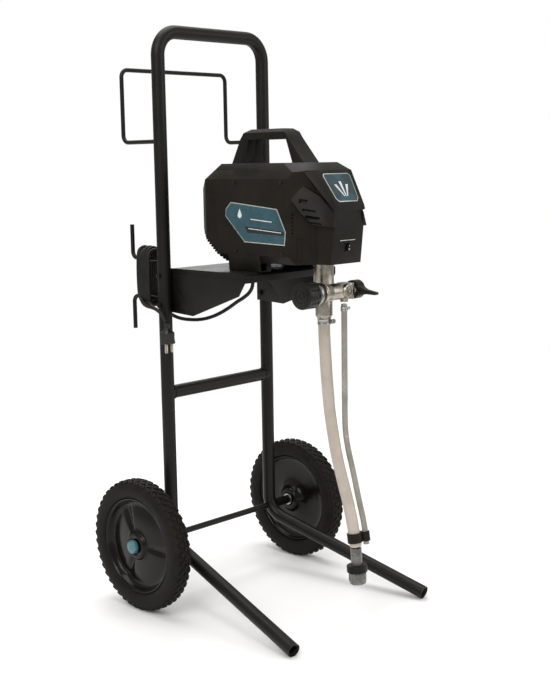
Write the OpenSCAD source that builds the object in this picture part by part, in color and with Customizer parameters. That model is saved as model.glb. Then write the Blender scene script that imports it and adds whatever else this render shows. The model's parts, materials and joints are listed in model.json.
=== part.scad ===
// Airless paint sprayer on a two-wheeled stand cart. Millimetres, +Z up, the front faces -Y.
// The origin is on the floor, in the middle of the cart's footprint.

/* [Cart frame] */
// Outer diameter of the frame tube
tube_d = 25.4; // [22:0.1:31]
// Wall of the frame tube
tube_wall = 1.6; // [1.2:0.1:2]
// Distance between the two uprights, centre to centre
upright_gap = 270; // [220:1:330]
// Height of the middle of the push handle's top run
handle_z = 1086; // [1060:1:1320]
// Bend radius of the push handle, to the tube's middle
handle_bend_r = 44; // [35:1:60]
// Height where the push handle plugs into the uprights
joint_z = 838; // [800:1:860]
// Height of the cross tube
crossbar_z = 410; // [300:1:480]
// Forward reach of each leg from its upright, along the leg's own direction
leg_reach = 376; // [300:1:450]
// Angle by which the legs spread outwards
leg_splay = 7.5; // [0:0.5:10]
// Downward slope of the legs
leg_slope = 15.2; // [12:0.1:18]
// Bend radius between upright and leg, to the tube's middle
leg_bend_r = 45; // [40:1:50]

/* [Wheels] */
// Outer diameter of the tyre
wheel_d = 254; // [220:1:310]
// Depth of the tyre, from its rim seat to its tread
tyre_depth = 34; // [28:1:40]
// Width of the tyre
tyre_w = 42; // [34:1:50]
// Distance between the outer sides of the two tyres
wheels_outer = 468; // [450:1:520]
// Diameter of the axle rod
axle_d = 12; // [10:0.5:14]
// Distance of the axle behind the uprights' middle
axle_back = -1.5; // [-4:0.5:0]

/* [Rack and hooks] */
// Wire diameter of the hose rack and the cord hooks
wire_d = 8; // [6:0.5:10]
// Distance of the hose rack behind the uprights
rack_back = 109; // [80:1:140]
// Height of the rack's arms, at the uprights
rack_low_z = 886; // [870:1:920]
// Height of the rack's top run
rack_top_z = 1023; // [980:1:1040]

/* [Shelf] */
// Height of the shelf's top face
shelf_z = 649; // [600:1:680]
// Distance of the shelf's front edge from the uprights
shelf_reach = 204; // [190:1:240]
// Thickness of the shelf and gusset sheet
sheet_t = 2.5; // [2:0.1:4]

/* [Sprayer] */
// Distance of the pump's axis in front of the uprights
pump_reach = 284; // [270:1:310]
// Width of the casing
body_w = 170; // [150:1:190]
// Height of the casing's belly over the shelf
belly_z = 16; // [12:1:20]
// Height of the casing's top over the shelf
body_top = 194; // [188:1:210]
// Distance from the pump's axis to the casing's back
body_back = 238; // [230:1:250]
// Distance from the pump's axis to the tip of the nose
nose_reach = 64; // [60:1:75]
// Wall of the moulded casing
casing_wall = 3; // [2.5:0.1:3.5]
// Width of the carrying handle
grip_w = 40; // [34:1:46]
// Height of the carrying handle's top over the shelf
grip_top = 256; // [250:1:275]

/* [Drive] */
// Height of the gear and crank axis over the shelf
gear_z = 87; // [84:0.5:92]
// Tooth module of the reduction gears
gear_module = 1.5; // [1.4:0.05:1.8]
// Teeth of the large gear
gear_teeth = 60; // [56:4:60]
// Teeth of the motor pinion
pinion_teeth = 12; // [12:1:14]
// Throw of the crank pin
crank_throw = 10; // [6:0.5:10]
// Distance between the connecting rod's eyes
rod_length = 53; // [52:0.5:56]
// Outer diameter of the motor can
motor_d = 72; // [60:1:76]
// Length of the motor can
motor_len = 112; // [90:1:116]

/* [Pump] */
// Outer diameter of the pump cylinder
pump_d = 37; // [36:0.5:40]
// Diameter of the piston rod
piston_d = 12; // [10:0.5:13]
// Diameter of the inlet valve housing
inlet_d = 31; // [29:0.5:34]
// Distance of the control barrel in front of the pump's axis
barrel_front = 31; // [29:0.5:34]
// Diameter of the control barrel
barrel_d = 30; // [27:0.5:32]
// Diameter of the pressure knob
knob_d = 48; // [42:1:52]
// Thread diameter of the spray hose outlet
outlet_d = 13.2; // [12:0.1:14]

/* [Hoses and cord] */
// Outer diameter of the suction hose
suction_d = 22; // [18:0.5:23]
// Outer diameter of the drain tube
drain_d = 11; // [9:0.5:12]
// Diameter of the power cord
cord_d = 7; // [6:0.5:8]

/* [Hidden] */
$fn = 48;
hull_fn = 32;
fit_gap = 0.05;          // radial clearance of a running fit
loose_gap = 0.3;         // clearance beside moving faces
tube_r = tube_d / 2;
upright_x = upright_gap / 2;
wheel_r = wheel_d / 2;
wire_r = wire_d / 2;
axle_z = wheel_r;

// Leg geometry: the leg's tip rests on the floor.
leg_turn = 90 - leg_slope;
leg_tip_z = tube_r * cos(leg_slope);
leg_corner_z = leg_tip_z + leg_reach * tan(leg_slope);
leg_tangent = leg_bend_r * tan(leg_turn / 2);
leg_straight = (leg_reach - leg_bend_r * (1 - cos(leg_turn))) / cos(leg_slope);
leg_axis_y = cos(leg_splay) * cos(leg_slope);

// The footprint's middle is the origin.
front_y = -(leg_reach * cos(leg_splay) + tube_r * sqrt(1 - leg_axis_y * leg_axis_y));
back_y = axle_back + wheel_r;
upright_y = -(front_y + back_y) / 2;

// Wheel stack along the axle, outwards from the upright
spacer_d = 18;
spacer_gap = 1.6;        // room for the leg's outward lean
tyre_mid_x = (wheels_outer - tyre_w) / 2;
hub_w = 46;
hub_in_x = tyre_mid_x - hub_w / 2;
hub_out_x = tyre_mid_x + 17;
washer_t = 1.5;
washer_d = 24;
cap_d = 26;
cap_h = 9;
bush_wall = 3;
bush_len = 14;
rim_r = wheel_r - tyre_depth;
hub_boss_d = 53;

// Sheet bracket
shelf_half = upright_x - tube_r - sheet_t;
bolt_d = 6;
bolt_zs = [shelf_z - 13, shelf_z - 69];
flange_drop = 18;

// Casing outline seen from the side, [distance behind the pump's axis, height over the shelf]
nose_lip_z = body_top - 75;
side_profile = [
    [-(nose_reach - 11), belly_z], [body_back - 63, belly_z],
    [body_back - 4, belly_z + 51], [body_back, belly_z + 60],
    [body_back, body_top - 46], [body_back - 22, body_top - 26],
    [body_back - 48, body_top], [-8, body_top], [-26, body_top - 14],
    [-nose_reach, nose_lip_z], [-(nose_reach - 5), nose_lip_z - 12],
    [-(nose_reach - 2), nose_lip_z - 37]];
// Casing outline seen from above, right half, [x, y behind the pump's axis]
side_x = body_w / 2;
cheek_y = 6;
nose_y = -25;
nose_root_x = 46;
nose_tip_x = 38;
plan_right = [
    [nose_tip_x, -nose_reach - 1], [nose_root_x, nose_y], [side_x, cheek_y],
    [side_x, body_back - 20], [side_x - 13, body_back + 1]];
// Casing outline seen from the front, right half, [x, height over the shelf]
front_right = [
    [side_x - 10, belly_z - 1], [side_x, belly_z + 14], [side_x, body_top - 28], [side_x - 17, body_top + 1]];
grip_half = grip_w / 2;
grip_outer = [
    [219, body_top - 12], [189, grip_top - 17], [180, grip_top - 6], [166, grip_top],
    [84, grip_top], [74, grip_top - 6], [66, grip_top - 17], [16, body_top - 12]];
grip_inner = [[176, body_top - 2], [168, grip_top - 19], [71, grip_top - 19], [55, body_top - 2]];
rear_split_y = 150;
vent_count = 6;
vent_pitch = 6.5;
fin_count = 11;
fin_pitch = 6.7;

// Motor and gears
pinion_r = gear_module * pinion_teeth / 2;
gear_r = gear_module * gear_teeth / 2;
mesh_gap = 0.35;
motor_z = gear_z + gear_r + pinion_r + mesh_gap;
gear_y = 34;
gear_w = 12;
motor_y = 70;
shaft_d = 8;
crank_shaft_d = 12;
bearing_d = 28;
bearing_w = 8;
small_bearing_d = 22;
small_bearing_w = 7;
plate_y = [17, 52];
plate_t = 10;
housing_r = gear_r + gear_module + 5.5;
wrist_z = gear_z + crank_throw - rod_length;
crank_pin_d = 10;
wrist_pin_d = 8;
rod_t = 10;
cheek_in = rod_t / 2 + 2;

// Pump heights over the shelf
inlet_top = -53;
inlet_bottom = -89;
ball_d = 11;
seat_d = 9;
ball_seat_z = -70;
barrel_z = -35;
neck_top = belly_z + 2;
flange_t = 5.5;
flange_d = 54;
seat_z = belly_z + casing_wall + 0.5;
valve_x = 24;
valve_in_x = valve_x - 10;
web_z = [-13, 11];
knob_out_x = -93;
knob_in_x = -66;
collar_in_x = -46;
barrel_out_x = -37;
lever_x = 41;
lever_t = 18;
drain_x = 20;

// Suction hose route, [x, y behind the pump's axis, z over the shelf]
suction_route = [
    [0, 0, -83], [0, 0, -105], [0, -1, -130], [0, -3, -160], [0, -5, -190], [0, -8, -220],
    [0, -11, -250], [0, -16, -280], [0, -22, -310], [0, -29, -340], [0, -38, -370],
    [0, -48, -400], [0, -57, -428], [0, -64, -455], [0, -69, -478], [0, -72.5, -500]];
// Drain tube route, same frame
drain_route = [
    [20, -31, -62], [20, -31, -90], [20, -31, -130], [20, -31, -180], [20, -31, -230],
    [20, -31, -270], [20, -33, -300], [20, -38, -325], [20, -45, -350], [19, -54, -378],
    [18, -62, -405], [18, -69, -430], [18, -76, -455], [18, -80, -475], [18, -83, -497]];
clip_p = [0, -70, -484];
strainer_p = [0, -75, -534];

// Power cord route, [x, y behind the uprights, z over the floor]
lead_route = [
    [-40, -142, 627], [-40, -140, 615], [-41, -133, 604], [-43, -120, 594], [-46, -103, 584],
    [-50, -83, 571], [-56, -64, 560], [-62, -45, 552], [-69, -24, 547],
    [-77, -4, 546], [-87, 9, 548], [-97, 18, 553], [-107, 23, 561], [-115, 25, 573], [-119, 26, 588]];
tail_route = [
    [-149, 60, 608], [-150, 57, 597], [-153, 48, 587], [-157, 36, 581], [-161, 20, 578], [-162, 6, 577],
    [-161, -7, 573], [-158, -18, 564], [-154, -24, 552]];
hank_y = [20, 66];
hank_z = [573, 692];
hank_half = 18;
hank_x = [-upright_x - hank_half, -upright_x + hank_half];
plug_p = [-153, -25, 546];
plug_len = 36;

// ---------- Frames of reference ----------

// The cart's own frame: its uprights stand at y = 0.
module on_cart() translate([0, upright_y, 0]) children();

// The sprayer's own frame: the pump's axis at x = y = 0, the shelf's top at z = 0.
module on_shelf() translate([0, upright_y - pump_reach, shelf_z]) children();

// Its two children mirrored about the cart's centre plane
module both_sides() for (s = [0, 1]) mirror([s, 0, 0]) children();

module along_x(x0, x1, d) translate([x0, 0, 0]) rotate([0, 90, 0]) cylinder(d = d, h = x1 - x0);

module along_y(y0, y1, d) translate([0, y1, 0]) rotate([90, 0, 0]) cylinder(d = d, h = y1 - y0);

// A profile drawn in (y, z), given thickness along x
module slab_x(x0, x1, profile) translate([x0, 0, 0]) rotate([90, 0, 90]) linear_extrude(x1 - x0) polygon(profile);

// A profile drawn in (x, z), given thickness along y
module slab_y(y0, y1) translate([0, y1, 0]) rotate([90, 0, 0]) linear_extrude(y1 - y0) children();

module box(x, y, z) translate([x[0], y[0], z[0]]) cube([x[1] - x[0], y[1] - y[0], z[1] - z[0]]);

// ---------- Outlines ----------

function step_dir(p, i) = let (v = p[(i + 1) % len(p)] - p[i]) v / norm(v);
function normal_of(v) = [-v[1], v[0]];
// Moves every edge of a counter-clockwise outline inwards by d
function inset(p, d) = [for (i = [0 : len(p) - 1])
    let (b = normal_of(step_dir(p, (i + len(p) - 1) % len(p))) + normal_of(step_dir(p, i)))
    p[i] + b * (2 * d / (b * b))];
// Closes a right-hand half outline with its mirror image
function both_halves(p) = concat(p, [for (i = [len(p) - 1 : -1 : 0]) [-p[i][0], p[i][1]]]);

// A tube of n sides along route points, one ring at each point
function ring_frame(t) = let (u = cross(t, abs(t[2]) > 0.9 ? [1, 0, 0] : [0, 0, 1])) u / norm(u);
function route_dir(p, i) = let (v = p[min(i + 1, len(p) - 1)] - p[max(i - 1, 0)]) v / norm(v);
function ring(p, t, r, n) = let (u = ring_frame(t), w = cross(t, u))
    [for (k = [0 : n - 1]) p + r * (cos(360 * k / n) * u + sin(360 * k / n) * w)];
module sweep(route, d, n = 12) {
    m = len(route);
    points = [for (i = [0 : m - 1]) each ring(route[i], route_dir(route, i), d / 2, n)];
    sides = [for (i = [0 : m - 2]) each [for (k = [0 : n - 1])
        [i * n + k, (i + 1) * n + k, (i + 1) * n + (k + 1) % n, i * n + (k + 1) % n]]];
    ends = [[for (k = [0 : n - 1]) k], [for (k = [n - 1 : -1 : 0]) (m - 1) * n + k]];
    polyhedron(points, concat(sides, ends));
}

// ---------- Cart frame ----------

// One upright with its leg, solid, of radius r, in the upright's own plane
module upright_shape(r, extra = 0) {
    translate([0, 0, leg_corner_z + leg_tangent]) cylinder(r = r, h = joint_z - leg_corner_z - leg_tangent + extra);
    translate([0, -leg_bend_r, leg_corner_z + leg_tangent]) {
        rotate([90, 0, 90]) rotate([0, 0, -leg_turn]) rotate_extrude(angle = leg_turn)
            translate([leg_bend_r, 0]) circle(r = r);
        translate([0, leg_bend_r * cos(leg_turn), -leg_bend_r * sin(leg_turn)])
            rotate([90 + leg_slope, 0, 0]) cylinder(r = r, h = leg_straight + extra);
    }
}

module placed_upright(side, r, extra = 0)
    translate([side * upright_x, 0, 0]) rotate([0, 0, side * leg_splay]) upright_shape(r, extra = extra);

// side is -1 on the left and 1 on the right
module upright(side) difference() {
    placed_upright(side, tube_r);
    placed_upright(side, tube_r - tube_wall, extra = 1);
    translate([side * upright_x, axle_back, axle_z]) along_x(-20, 20, axle_d);
    for (z = bolt_zs) translate([side * upright_x, 0, z]) along_x(-20, 20, bolt_d);
}

module left_upright() color("#151515") on_cart() upright(-1);
module right_upright() color("#151515") on_cart() upright(1);

module handle_shape(r, extra = 0) {
    both_sides() {
        translate([upright_x, 0, joint_z - extra]) cylinder(r = r, h = handle_z - handle_bend_r - joint_z + extra);
        translate([upright_x - handle_bend_r, 0, handle_z - handle_bend_r])
            rotate([90, 0, 0]) rotate_extrude(angle = 90) translate([handle_bend_r, 0]) circle(r = r);
    }
    translate([0, 0, handle_z]) along_x(-upright_x + handle_bend_r, upright_x - handle_bend_r, 2 * r);
}

module push_handle() color("#151515") on_cart() difference() {
    handle_shape(tube_r);
    handle_shape(tube_r - tube_wall, extra = 1);
}

// Sleeves inside the tubes that line the handle up with the uprights
module handle_spigots() color("#707070") on_cart() both_sides()
    translate([upright_x, 0, joint_z - 40]) difference() {
        cylinder(r = tube_r - tube_wall, h = 80);
        translate([0, 0, -1]) cylinder(r = tube_r - 2 * tube_wall, h = 82);
    }

module crossbar() color("#151515") on_cart() translate([0, 0, crossbar_z]) difference() {
    along_x(-upright_x, upright_x, tube_d);
    along_x(-upright_x - 1, upright_x + 1, tube_d - 2 * tube_wall);
    both_sides() translate([upright_x, 0, -30]) cylinder(r = tube_r, h = 60);
}

// Tubes that keep the wheels off the uprights
module axle_spacers() color("#151515") on_cart() both_sides()
    translate([0, axle_back, axle_z]) difference() {
        along_x(upright_x + tube_r + spacer_gap, hub_in_x - loose_gap - washer_t, spacer_d);
        along_x(upright_x, hub_in_x, axle_d);
    }

module axle() color("#8a8a8a") on_cart() translate([0, axle_back, axle_z])
    along_x(-(hub_out_x + washer_t + 4), hub_out_x + washer_t + 4, axle_d);

// Flat washers on both faces of each hub
module axle_washers() color("#b0b0b0") on_cart() both_sides() translate([0, axle_back, axle_z])
    for (x = [hub_in_x - loose_gap - washer_t, hub_out_x + loose_gap]) difference() {
        along_x(x, x + washer_t, washer_d);
        along_x(x - 1, x + washer_t + 1, axle_d);
    }

// Push-on caps that hold the wheels on the axle
module axle_caps() color("#1f6f78") on_cart() both_sides()
    translate([hub_out_x + loose_gap + washer_t, axle_back, axle_z]) rotate([0, 90, 0]) difference() {
        rotate_extrude() polygon([[0, 0], [cap_d / 2, 0], [cap_d / 2, 5], [cap_d / 2 - 3, cap_h], [0, cap_h]]);
        translate([0, 0, -1]) cylinder(d = axle_d, h = 1 + 4 - loose_gap);
    }

// Plastic plugs pushed into the legs' open ends
module leg_plugs() color("#0d0d0d") on_cart() both_sides()
    translate([upright_x, 0, 0]) rotate([0, 0, leg_splay])
        translate([0, -leg_bend_r * (1 - cos(leg_turn)),
            leg_corner_z + leg_tangent - leg_bend_r * sin(leg_turn)])
            rotate([90 + leg_slope, 0, 0]) translate([0, 0, leg_straight - 16]) difference() {
                cylinder(r = tube_r - tube_wall, h = 14);
                translate([0, 0, 3]) cylinder(r = tube_r - tube_wall - 2.5, h = 12);
            }

// ---------- Rack and hooks ----------

rack_bend_r = 14;
module quarter_bend(r) rotate_extrude(angle = 90) translate([r, 0]) circle(r = wire_r);

module rack_half() {
    b = rack_bend_r;
    translate([upright_x, 0, rack_low_z]) rotate([-90, 0, 0]) cylinder(r = wire_r, h = rack_back - b);
    translate([upright_x, rack_back - b, rack_low_z + b])
        rotate([90, 0, 90]) rotate([0, 0, -90]) quarter_bend(b);
    translate([upright_x, rack_back, rack_low_z + b]) cylinder(r = wire_r, h = rack_top_z - rack_low_z - 2 * b);
    translate([upright_x - b, rack_back, rack_top_z - b]) rotate([90, 0, 0]) quarter_bend(b);
}

module hose_rack() color("#151515") on_cart() difference() {
    union() {
        both_sides() rack_half();
        translate([0, rack_back, rack_top_z])
            along_x(-upright_x + rack_bend_r, upright_x - rack_bend_r, wire_d);
    }
    both_sides() translate([upright_x, 0, rack_low_z - 20]) cylinder(r = tube_r, h = 40);
}

// Two welded rods behind the left upright that the power cord is wound on
hook_upper_z = 666;
hook_lower_z = 592;
hook_back = 92;
hook_tip = 52;
module hook_rod(z, up) {
    b = 12;
    translate([0, 0, z]) {
        rotate([-90, 0, 0]) cylinder(r = wire_r, h = hook_back - b);
        translate([0, hook_back - b, up * b]) rotate([90, 0, 90]) rotate([0, 0, up > 0 ? -90 : 0]) quarter_bend(b);
        translate([0, hook_back, up > 0 ? b : -b - hook_tip]) cylinder(r = wire_r, h = hook_tip);
    }
}

module cord_hooks() color("#151515") on_cart() translate([-upright_x, 0, 0]) difference() {
    union() {
        hook_rod(hook_upper_z, 1);
        hook_rod(hook_lower_z, -1);
    }
    translate([0, 0, hook_lower_z - 20]) cylinder(r = tube_r, h = hook_upper_z - hook_lower_z + 40);
}

// ---------- Shelf bracket ----------

module shelf() color("#2a2a2a") on_cart() difference() {
    slab_x(-shelf_half, shelf_half, [
        [-8, shelf_z - sheet_t], [-8, shelf_z], [-(shelf_reach - 6), shelf_z], [-shelf_reach, shelf_z - 6],
        [-shelf_reach, shelf_z - flange_drop], [-shelf_reach + sheet_t, shelf_z - flange_drop],
        [-shelf_reach + sheet_t, shelf_z - 7], [-(shelf_reach - 7), shelf_z - sheet_t]]);
    // Grommet hole for the power cord
    translate([lead_route[0][0], lead_route[0][1], shelf_z - 10]) cylinder(d = cord_d + 5, h = 20);
    for (x = [-70, 70], y = [-136, -196]) translate([x, y, shelf_z - 10]) cylinder(d = 5, h = 20);
}

gusset_profile = [
    [-(shelf_reach - 6), shelf_z], [-shelf_reach, shelf_z - 6], [-shelf_reach, shelf_z - flange_drop],
    [-188, shelf_z - 42], [-64, shelf_z - 87], [-3, shelf_z - 84], [10, shelf_z - 84], [10, shelf_z]];
module gussets() color("#1c1c1c") on_cart() both_sides() difference() {
    slab_x(shelf_half, shelf_half + sheet_t, gusset_profile);
    for (z = bolt_zs) translate([0, 0, z]) along_x(shelf_half - 1, shelf_half + sheet_t + 1, bolt_d);
}

// Hex bolts through the uprights, with their nuts inside the gussets
module bracket_bolts() color("#a0a0a0") on_cart() both_sides() for (z = bolt_zs) translate([0, 0, z]) {
    along_x(shelf_half - 6, upright_x + tube_r, bolt_d);
    translate([upright_x + tube_r, 0, 0]) rotate([0, 90, 0]) cylinder(d = 11, h = 4, $fn = 6);
    translate([shelf_half - 5, 0, 0]) rotate([0, 90, 0]) difference() {
        cylinder(d = 11, h = 5, $fn = 6);
        translate([0, 0, -1]) cylinder(d = bolt_d, h = 7);
    }
}

// ---------- Wheels ----------

// Tyre section in (radius, x)
tyre_h = tyre_w / 2;
tyre_section = [
    [rim_r, -tyre_h + 6], [rim_r + 8, -tyre_h], [wheel_r - 8, -tyre_h], [wheel_r - 2, -tyre_h + 5], [wheel_r, -8],
    [wheel_r, 8], [wheel_r - 2, tyre_h - 5], [wheel_r - 8, tyre_h], [rim_r + 8, tyre_h], [rim_r, tyre_h - 6]];
module tyre() translate([tyre_mid_x, axle_back, axle_z]) rotate([0, 90, 0])
    rotate_extrude($fn = 96) polygon(tyre_section);

module left_tyre() color("#1a1a1a") on_cart() mirror([1, 0, 0]) tyre();
module right_tyre() color("#1a1a1a") on_cart() tyre();

// Dished hub: rim band, web and boss, with three raised lobes on the outer side
web_x = 2;
web_t = 4;
hub_in = hub_in_x - tyre_mid_x;
hub_out = hub_out_x - tyre_mid_x;
boss_r = hub_boss_d / 2;
hub_section = [
    [axle_d / 2 + bush_wall, hub_in], [boss_r - 6, hub_in], [boss_r, web_x - web_t], [rim_r - 4, web_x - web_t],
    [rim_r - 4, -tyre_h + 6], [rim_r, -tyre_h + 6], [rim_r, tyre_h - 6], [rim_r - 4, tyre_h - 6], [rim_r - 10, web_x],
    [boss_r + 8, web_x], [boss_r, hub_out - 3], [boss_r - 4, hub_out], [axle_d / 2 + bush_wall, hub_out]];
module hub() translate([tyre_mid_x, axle_back, axle_z]) rotate([0, 90, 0]) {
    rotate_extrude($fn = 96) polygon(hub_section);
    for (a = [0, 120, 240]) rotate([0, 0, a]) difference() {
        translate([0, 0, web_x - 0.5]) linear_extrude(9) polygon([[boss_r - 3, -15], [rim_r - 16, -30],
            [rim_r - 16, 30], [boss_r - 3, 15]]);
        translate([0, 0, web_x + 3]) linear_extrude(9) polygon([[boss_r + 8, -9], [rim_r - 22, -22],
            [rim_r - 22, 22], [boss_r + 8, 9]]);
    }
}

module left_hub() color("#101010") on_cart() mirror([1, 0, 0]) hub();
module right_hub() color("#101010") on_cart() hub();

module bushes() translate([0, axle_back, axle_z]) for (x = [hub_in_x, hub_out_x - bush_len]) difference() {
    along_x(x, x + bush_len, axle_d + 2 * bush_wall);
    along_x(x - 1, x + bush_len + 1, axle_d + 2 * fit_gap);
}
module left_bushes() color("#d8d4c8") on_cart() mirror([1, 0, 0]) bushes();
module right_bushes() color("#d8d4c8") on_cart() bushes();

// ---------- Casing ----------

// The whole moulded body as one block, d inside its outer face
module casing_block(d = 0) intersection() {
    slab_x(-side_x - 1, side_x + 1, inset(side_profile, d));
    translate([0, 0, belly_z - 5]) linear_extrude(body_top - belly_z + 10)
        polygon(inset(both_halves(plan_right), d));
    slab_y(-nose_reach - 5, body_back + 5) polygon(inset(both_halves(front_right), d));
    // Sloping shoulders beside the crown's front end
    difference() {
        box([-side_x - 1, side_x + 1], [-nose_reach - 5, body_back + 5], [belly_z - 5, body_top + 10]);
        both_sides() translate([30, -8, body_top]) rotate([0, 0, 45]) rotate([30.2, 0, 0])
            translate([-60, -90, -d]) cube([170, 95, 60]);
    }
}

module grip_block() difference() {
    slab_x(-grip_half, grip_half, [for (i = [len(grip_outer) - 1 : -1 : 0]) grip_outer[i]]);
    slab_x(-grip_half - 1, grip_half + 1, [for (i = [len(grip_inner) - 1 : -1 : 0]) grip_inner[i]]);
    both_sides() translate([grip_half, 100, grip_top]) rotate([0, 45, 0]) cube([9, 400, 9], center = true);
}

// Cooling slots through each cheek facet
module cheek_vents() both_sides() for (i = [0 : vent_count - 1])
    translate([side_x - 18, cheek_y - 12, 72 + i * vent_pitch]) rotate([0, 0, -52]) cube([26, 30, 2.6], center = true);

// The casing's middle, hollow, with its belly openings and the handle
module casing_shell() difference() {
    union() {
        casing_block();
        grip_block();
    }
    casing_block(casing_wall);
    box([-side_x - 5, side_x + 5], [-nose_reach - 5, nose_y], [belly_z - 5, body_top + 5]);
    box([-side_x - 5, side_x + 5], [rear_split_y, body_back + 5], [belly_z - 5, body_top - 12]);
    translate([0, 0, belly_z - 5]) cylinder(d = pump_d + 2, h = 20);
    cheek_vents();
}

module left_casing() color("#191817") on_shelf() intersection() {
    casing_shell();
    box([-side_x - 5, 0], [-100, 300], [0, grip_top + 5]);
}
module right_casing() color("#191817") on_shelf() intersection() {
    casing_shell();
    box([0, side_x + 5], [-100, 300], [0, grip_top + 5]);
}

// Nose cover in front of the split line, open at the back and round the toggle
toggle_z = 46;
module nose_cover() color("#1b1a19") on_shelf() difference() {
    intersection() {
        casing_block();
        box([-side_x, side_x], [-nose_reach - 5, nose_y], [belly_z - 5, body_top + 5]);
    }
    casing_block(casing_wall);
    translate([0, 0, belly_z - 5]) cylinder(d = pump_d + 2, h = 20);
    box([-4.6, 4.6], [-nose_reach - 5, -40], [toggle_z - 6.8, toggle_z + 6.8]);
}

// Back cover with the fan's air slots across its lower slope
rear_low = side_profile[1];
rear_slope = side_profile[2] - rear_low;
module rear_cover() color("#171615") on_shelf() difference() {
    intersection() {
        casing_block();
        box([-side_x, side_x], [rear_split_y, body_back + 5], [belly_z - 5, body_top - 12]);
    }
    casing_block(casing_wall);
    for (i = [0 : fin_count - 1]) let (p = rear_low + rear_slope / norm(rear_slope) * (3 + i * fin_pitch))
        translate([0, p[0], p[1]]) rotate([atan2(rear_slope[1], rear_slope[0]), 0, 0])
            cube([body_w + 10, 3.4, 9], center = true);
}

badge_t = 1.2;
nose_top = side_profile[8];
nose_lip = side_profile[9];
badge_tilt = atan2(nose_top[1] - nose_lip[1], nose_top[0] - nose_lip[0]);
// Plate on the nose's sloping face, drawn in (x, distance up the slope)
module nose_badge() color("#1d4f57") on_shelf() translate([0, nose_top[0], nose_top[1]]) rotate([badge_tilt, 0, 0])
    linear_extrude(badge_t) polygon([[-24, -65], [24, -65], [30, -58], [36, -12], [32, -7], [-32, -7], [-36, -12], [-30, -58]]);

// Plates on both sides, [y behind the pump's axis, z over the shelf]
side_badge_profile = [[14, 50], [11, 74], [32, 114], [149, 125], [163, 112], [164, 99], [115, 53]];
module side_badges() color("#1d4f57") on_shelf() both_sides()
    slab_x(side_x, side_x + badge_t, [for (i = [len(side_badge_profile) - 1 : -1 : 0]) side_badge_profile[i]]);

module casing_screws() color("#909090") on_shelf() both_sides()
    for (y = [cheek_y + 16, rear_split_y - 10], z = [belly_z + 20, body_top - 34]) translate([0, y, z])
        along_x(side_x, side_x + 1.5, 7);

// Moulded rails under the belly, screwed down to the shelf
module foot_rails() color("#141414") on_shelf() both_sides() difference() {
    box([56, 82], [pump_reach - 206, pump_reach - 124], [0, belly_z]);
    for (y = [-136, -196]) translate([70, y + pump_reach, -1]) cylinder(d = 5, h = belly_z + 2);
}

// ---------- Drive ----------

// Cast gear case: two bearing plates with a skirt, and the seat for the pump
module drive_outline(d) {
    translate([0, gear_z]) circle(r = housing_r - d);
    translate([0, motor_z]) circle(r = 26 - d);
    translate([-26 + d, gear_z]) square([52 - 2 * d, motor_z - gear_z]);
}
module drive_housing() color("#9a9a98") on_shelf() difference() {
    union() {
        slab_y(plate_y[0], plate_y[1] + plate_t) drive_outline(0);
        box([-30, 30], [-27, plate_y[0] + plate_t], [seat_z + flange_t, seat_z + flange_t + 8]);
    }
    slab_y(plate_y[0] + plate_t, plate_y[1]) drive_outline(3.5);
    translate([0, 0, seat_z]) cylinder(r = 20, h = 30);
    translate([0, 0, gear_z]) {
        along_y(plate_y[0] - 1, plate_y[0] + 1, crank_shaft_d + 2);
        along_y(plate_y[0] + 1, plate_y[0] + 1 + bearing_w, bearing_d);
        along_y(plate_y[0] + 1, plate_y[1], crank_shaft_d + 6);
        along_y(plate_y[1], plate_y[1] + bearing_w, bearing_d);
        along_y(plate_y[1] - 1, plate_y[1] + plate_t + 1, crank_shaft_d + 2);
    }
    translate([0, 0, motor_z]) {
        along_y(plate_y[1] - 1, plate_y[1] + plate_t + 1, shaft_d + 4);
        along_y(plate_y[1], plate_y[1] + small_bearing_w, small_bearing_d);
    }
}

module bearing_ring(y, w, d_out, d_in) difference() {
    along_y(y, y + w, d_out);
    along_y(y - 1, y + w + 1, d_in + 2 * fit_gap);
}
module bearings() color("#c0c0c0") on_shelf() {
    translate([0, 0, gear_z]) for (y = [plate_y[0] + 1, plate_y[1]])
        bearing_ring(y, bearing_w, bearing_d, crank_shaft_d);
    translate([0, 0, motor_z]) bearing_ring(plate_y[1], small_bearing_w, small_bearing_d, shaft_d);
    translate([0, 0, motor_z]) bearing_ring(motor_y + motor_len, small_bearing_w, small_bearing_d, shaft_d);
}

can_wall = 2.5;
module motor_can() color("#6a6c6e") on_shelf() translate([0, 0, motor_z]) difference() {
    along_y(plate_y[1] + plate_t, motor_y + motor_len, motor_d);
    along_y(plate_y[1] + plate_t - 1, motor_y + motor_len + 1, motor_d - 2 * can_wall);
}

module motor_end_bell() color("#3a3a3a") on_shelf() translate([0, 0, motor_z]) difference() {
    along_y(motor_y + motor_len, motor_y + motor_len + 10, motor_d);
    along_y(motor_y + motor_len - 1, motor_y + motor_len + small_bearing_w, small_bearing_d);
    along_y(motor_y + motor_len - 1, motor_y + motor_len + 11, shaft_d + 3);
    for (a = [30 : 60 : 330]) rotate([0, a, 0]) translate([23, 0, 0])
        along_y(motor_y + motor_len - 1, motor_y + motor_len + 11, 9);
}

core_d = motor_d - 2 * can_wall - 14;
module armature() color("#a8622d") on_shelf() translate([0, 0, motor_z]) {
    along_y(gear_y - 2, motor_y + motor_len + 32, shaft_d);
    difference() {
        along_y(motor_y + 14, motor_y + 72, core_d);
        for (a = [0 : 30 : 330]) rotate([0, a, 0]) translate([core_d / 2 - 3, 0, 0])
            along_y(motor_y + 13, motor_y + 73, 5);
    }
    along_y(motor_y + 82, motor_y + 100, 24);
}

fan_y = motor_y + motor_len + 16;
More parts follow.
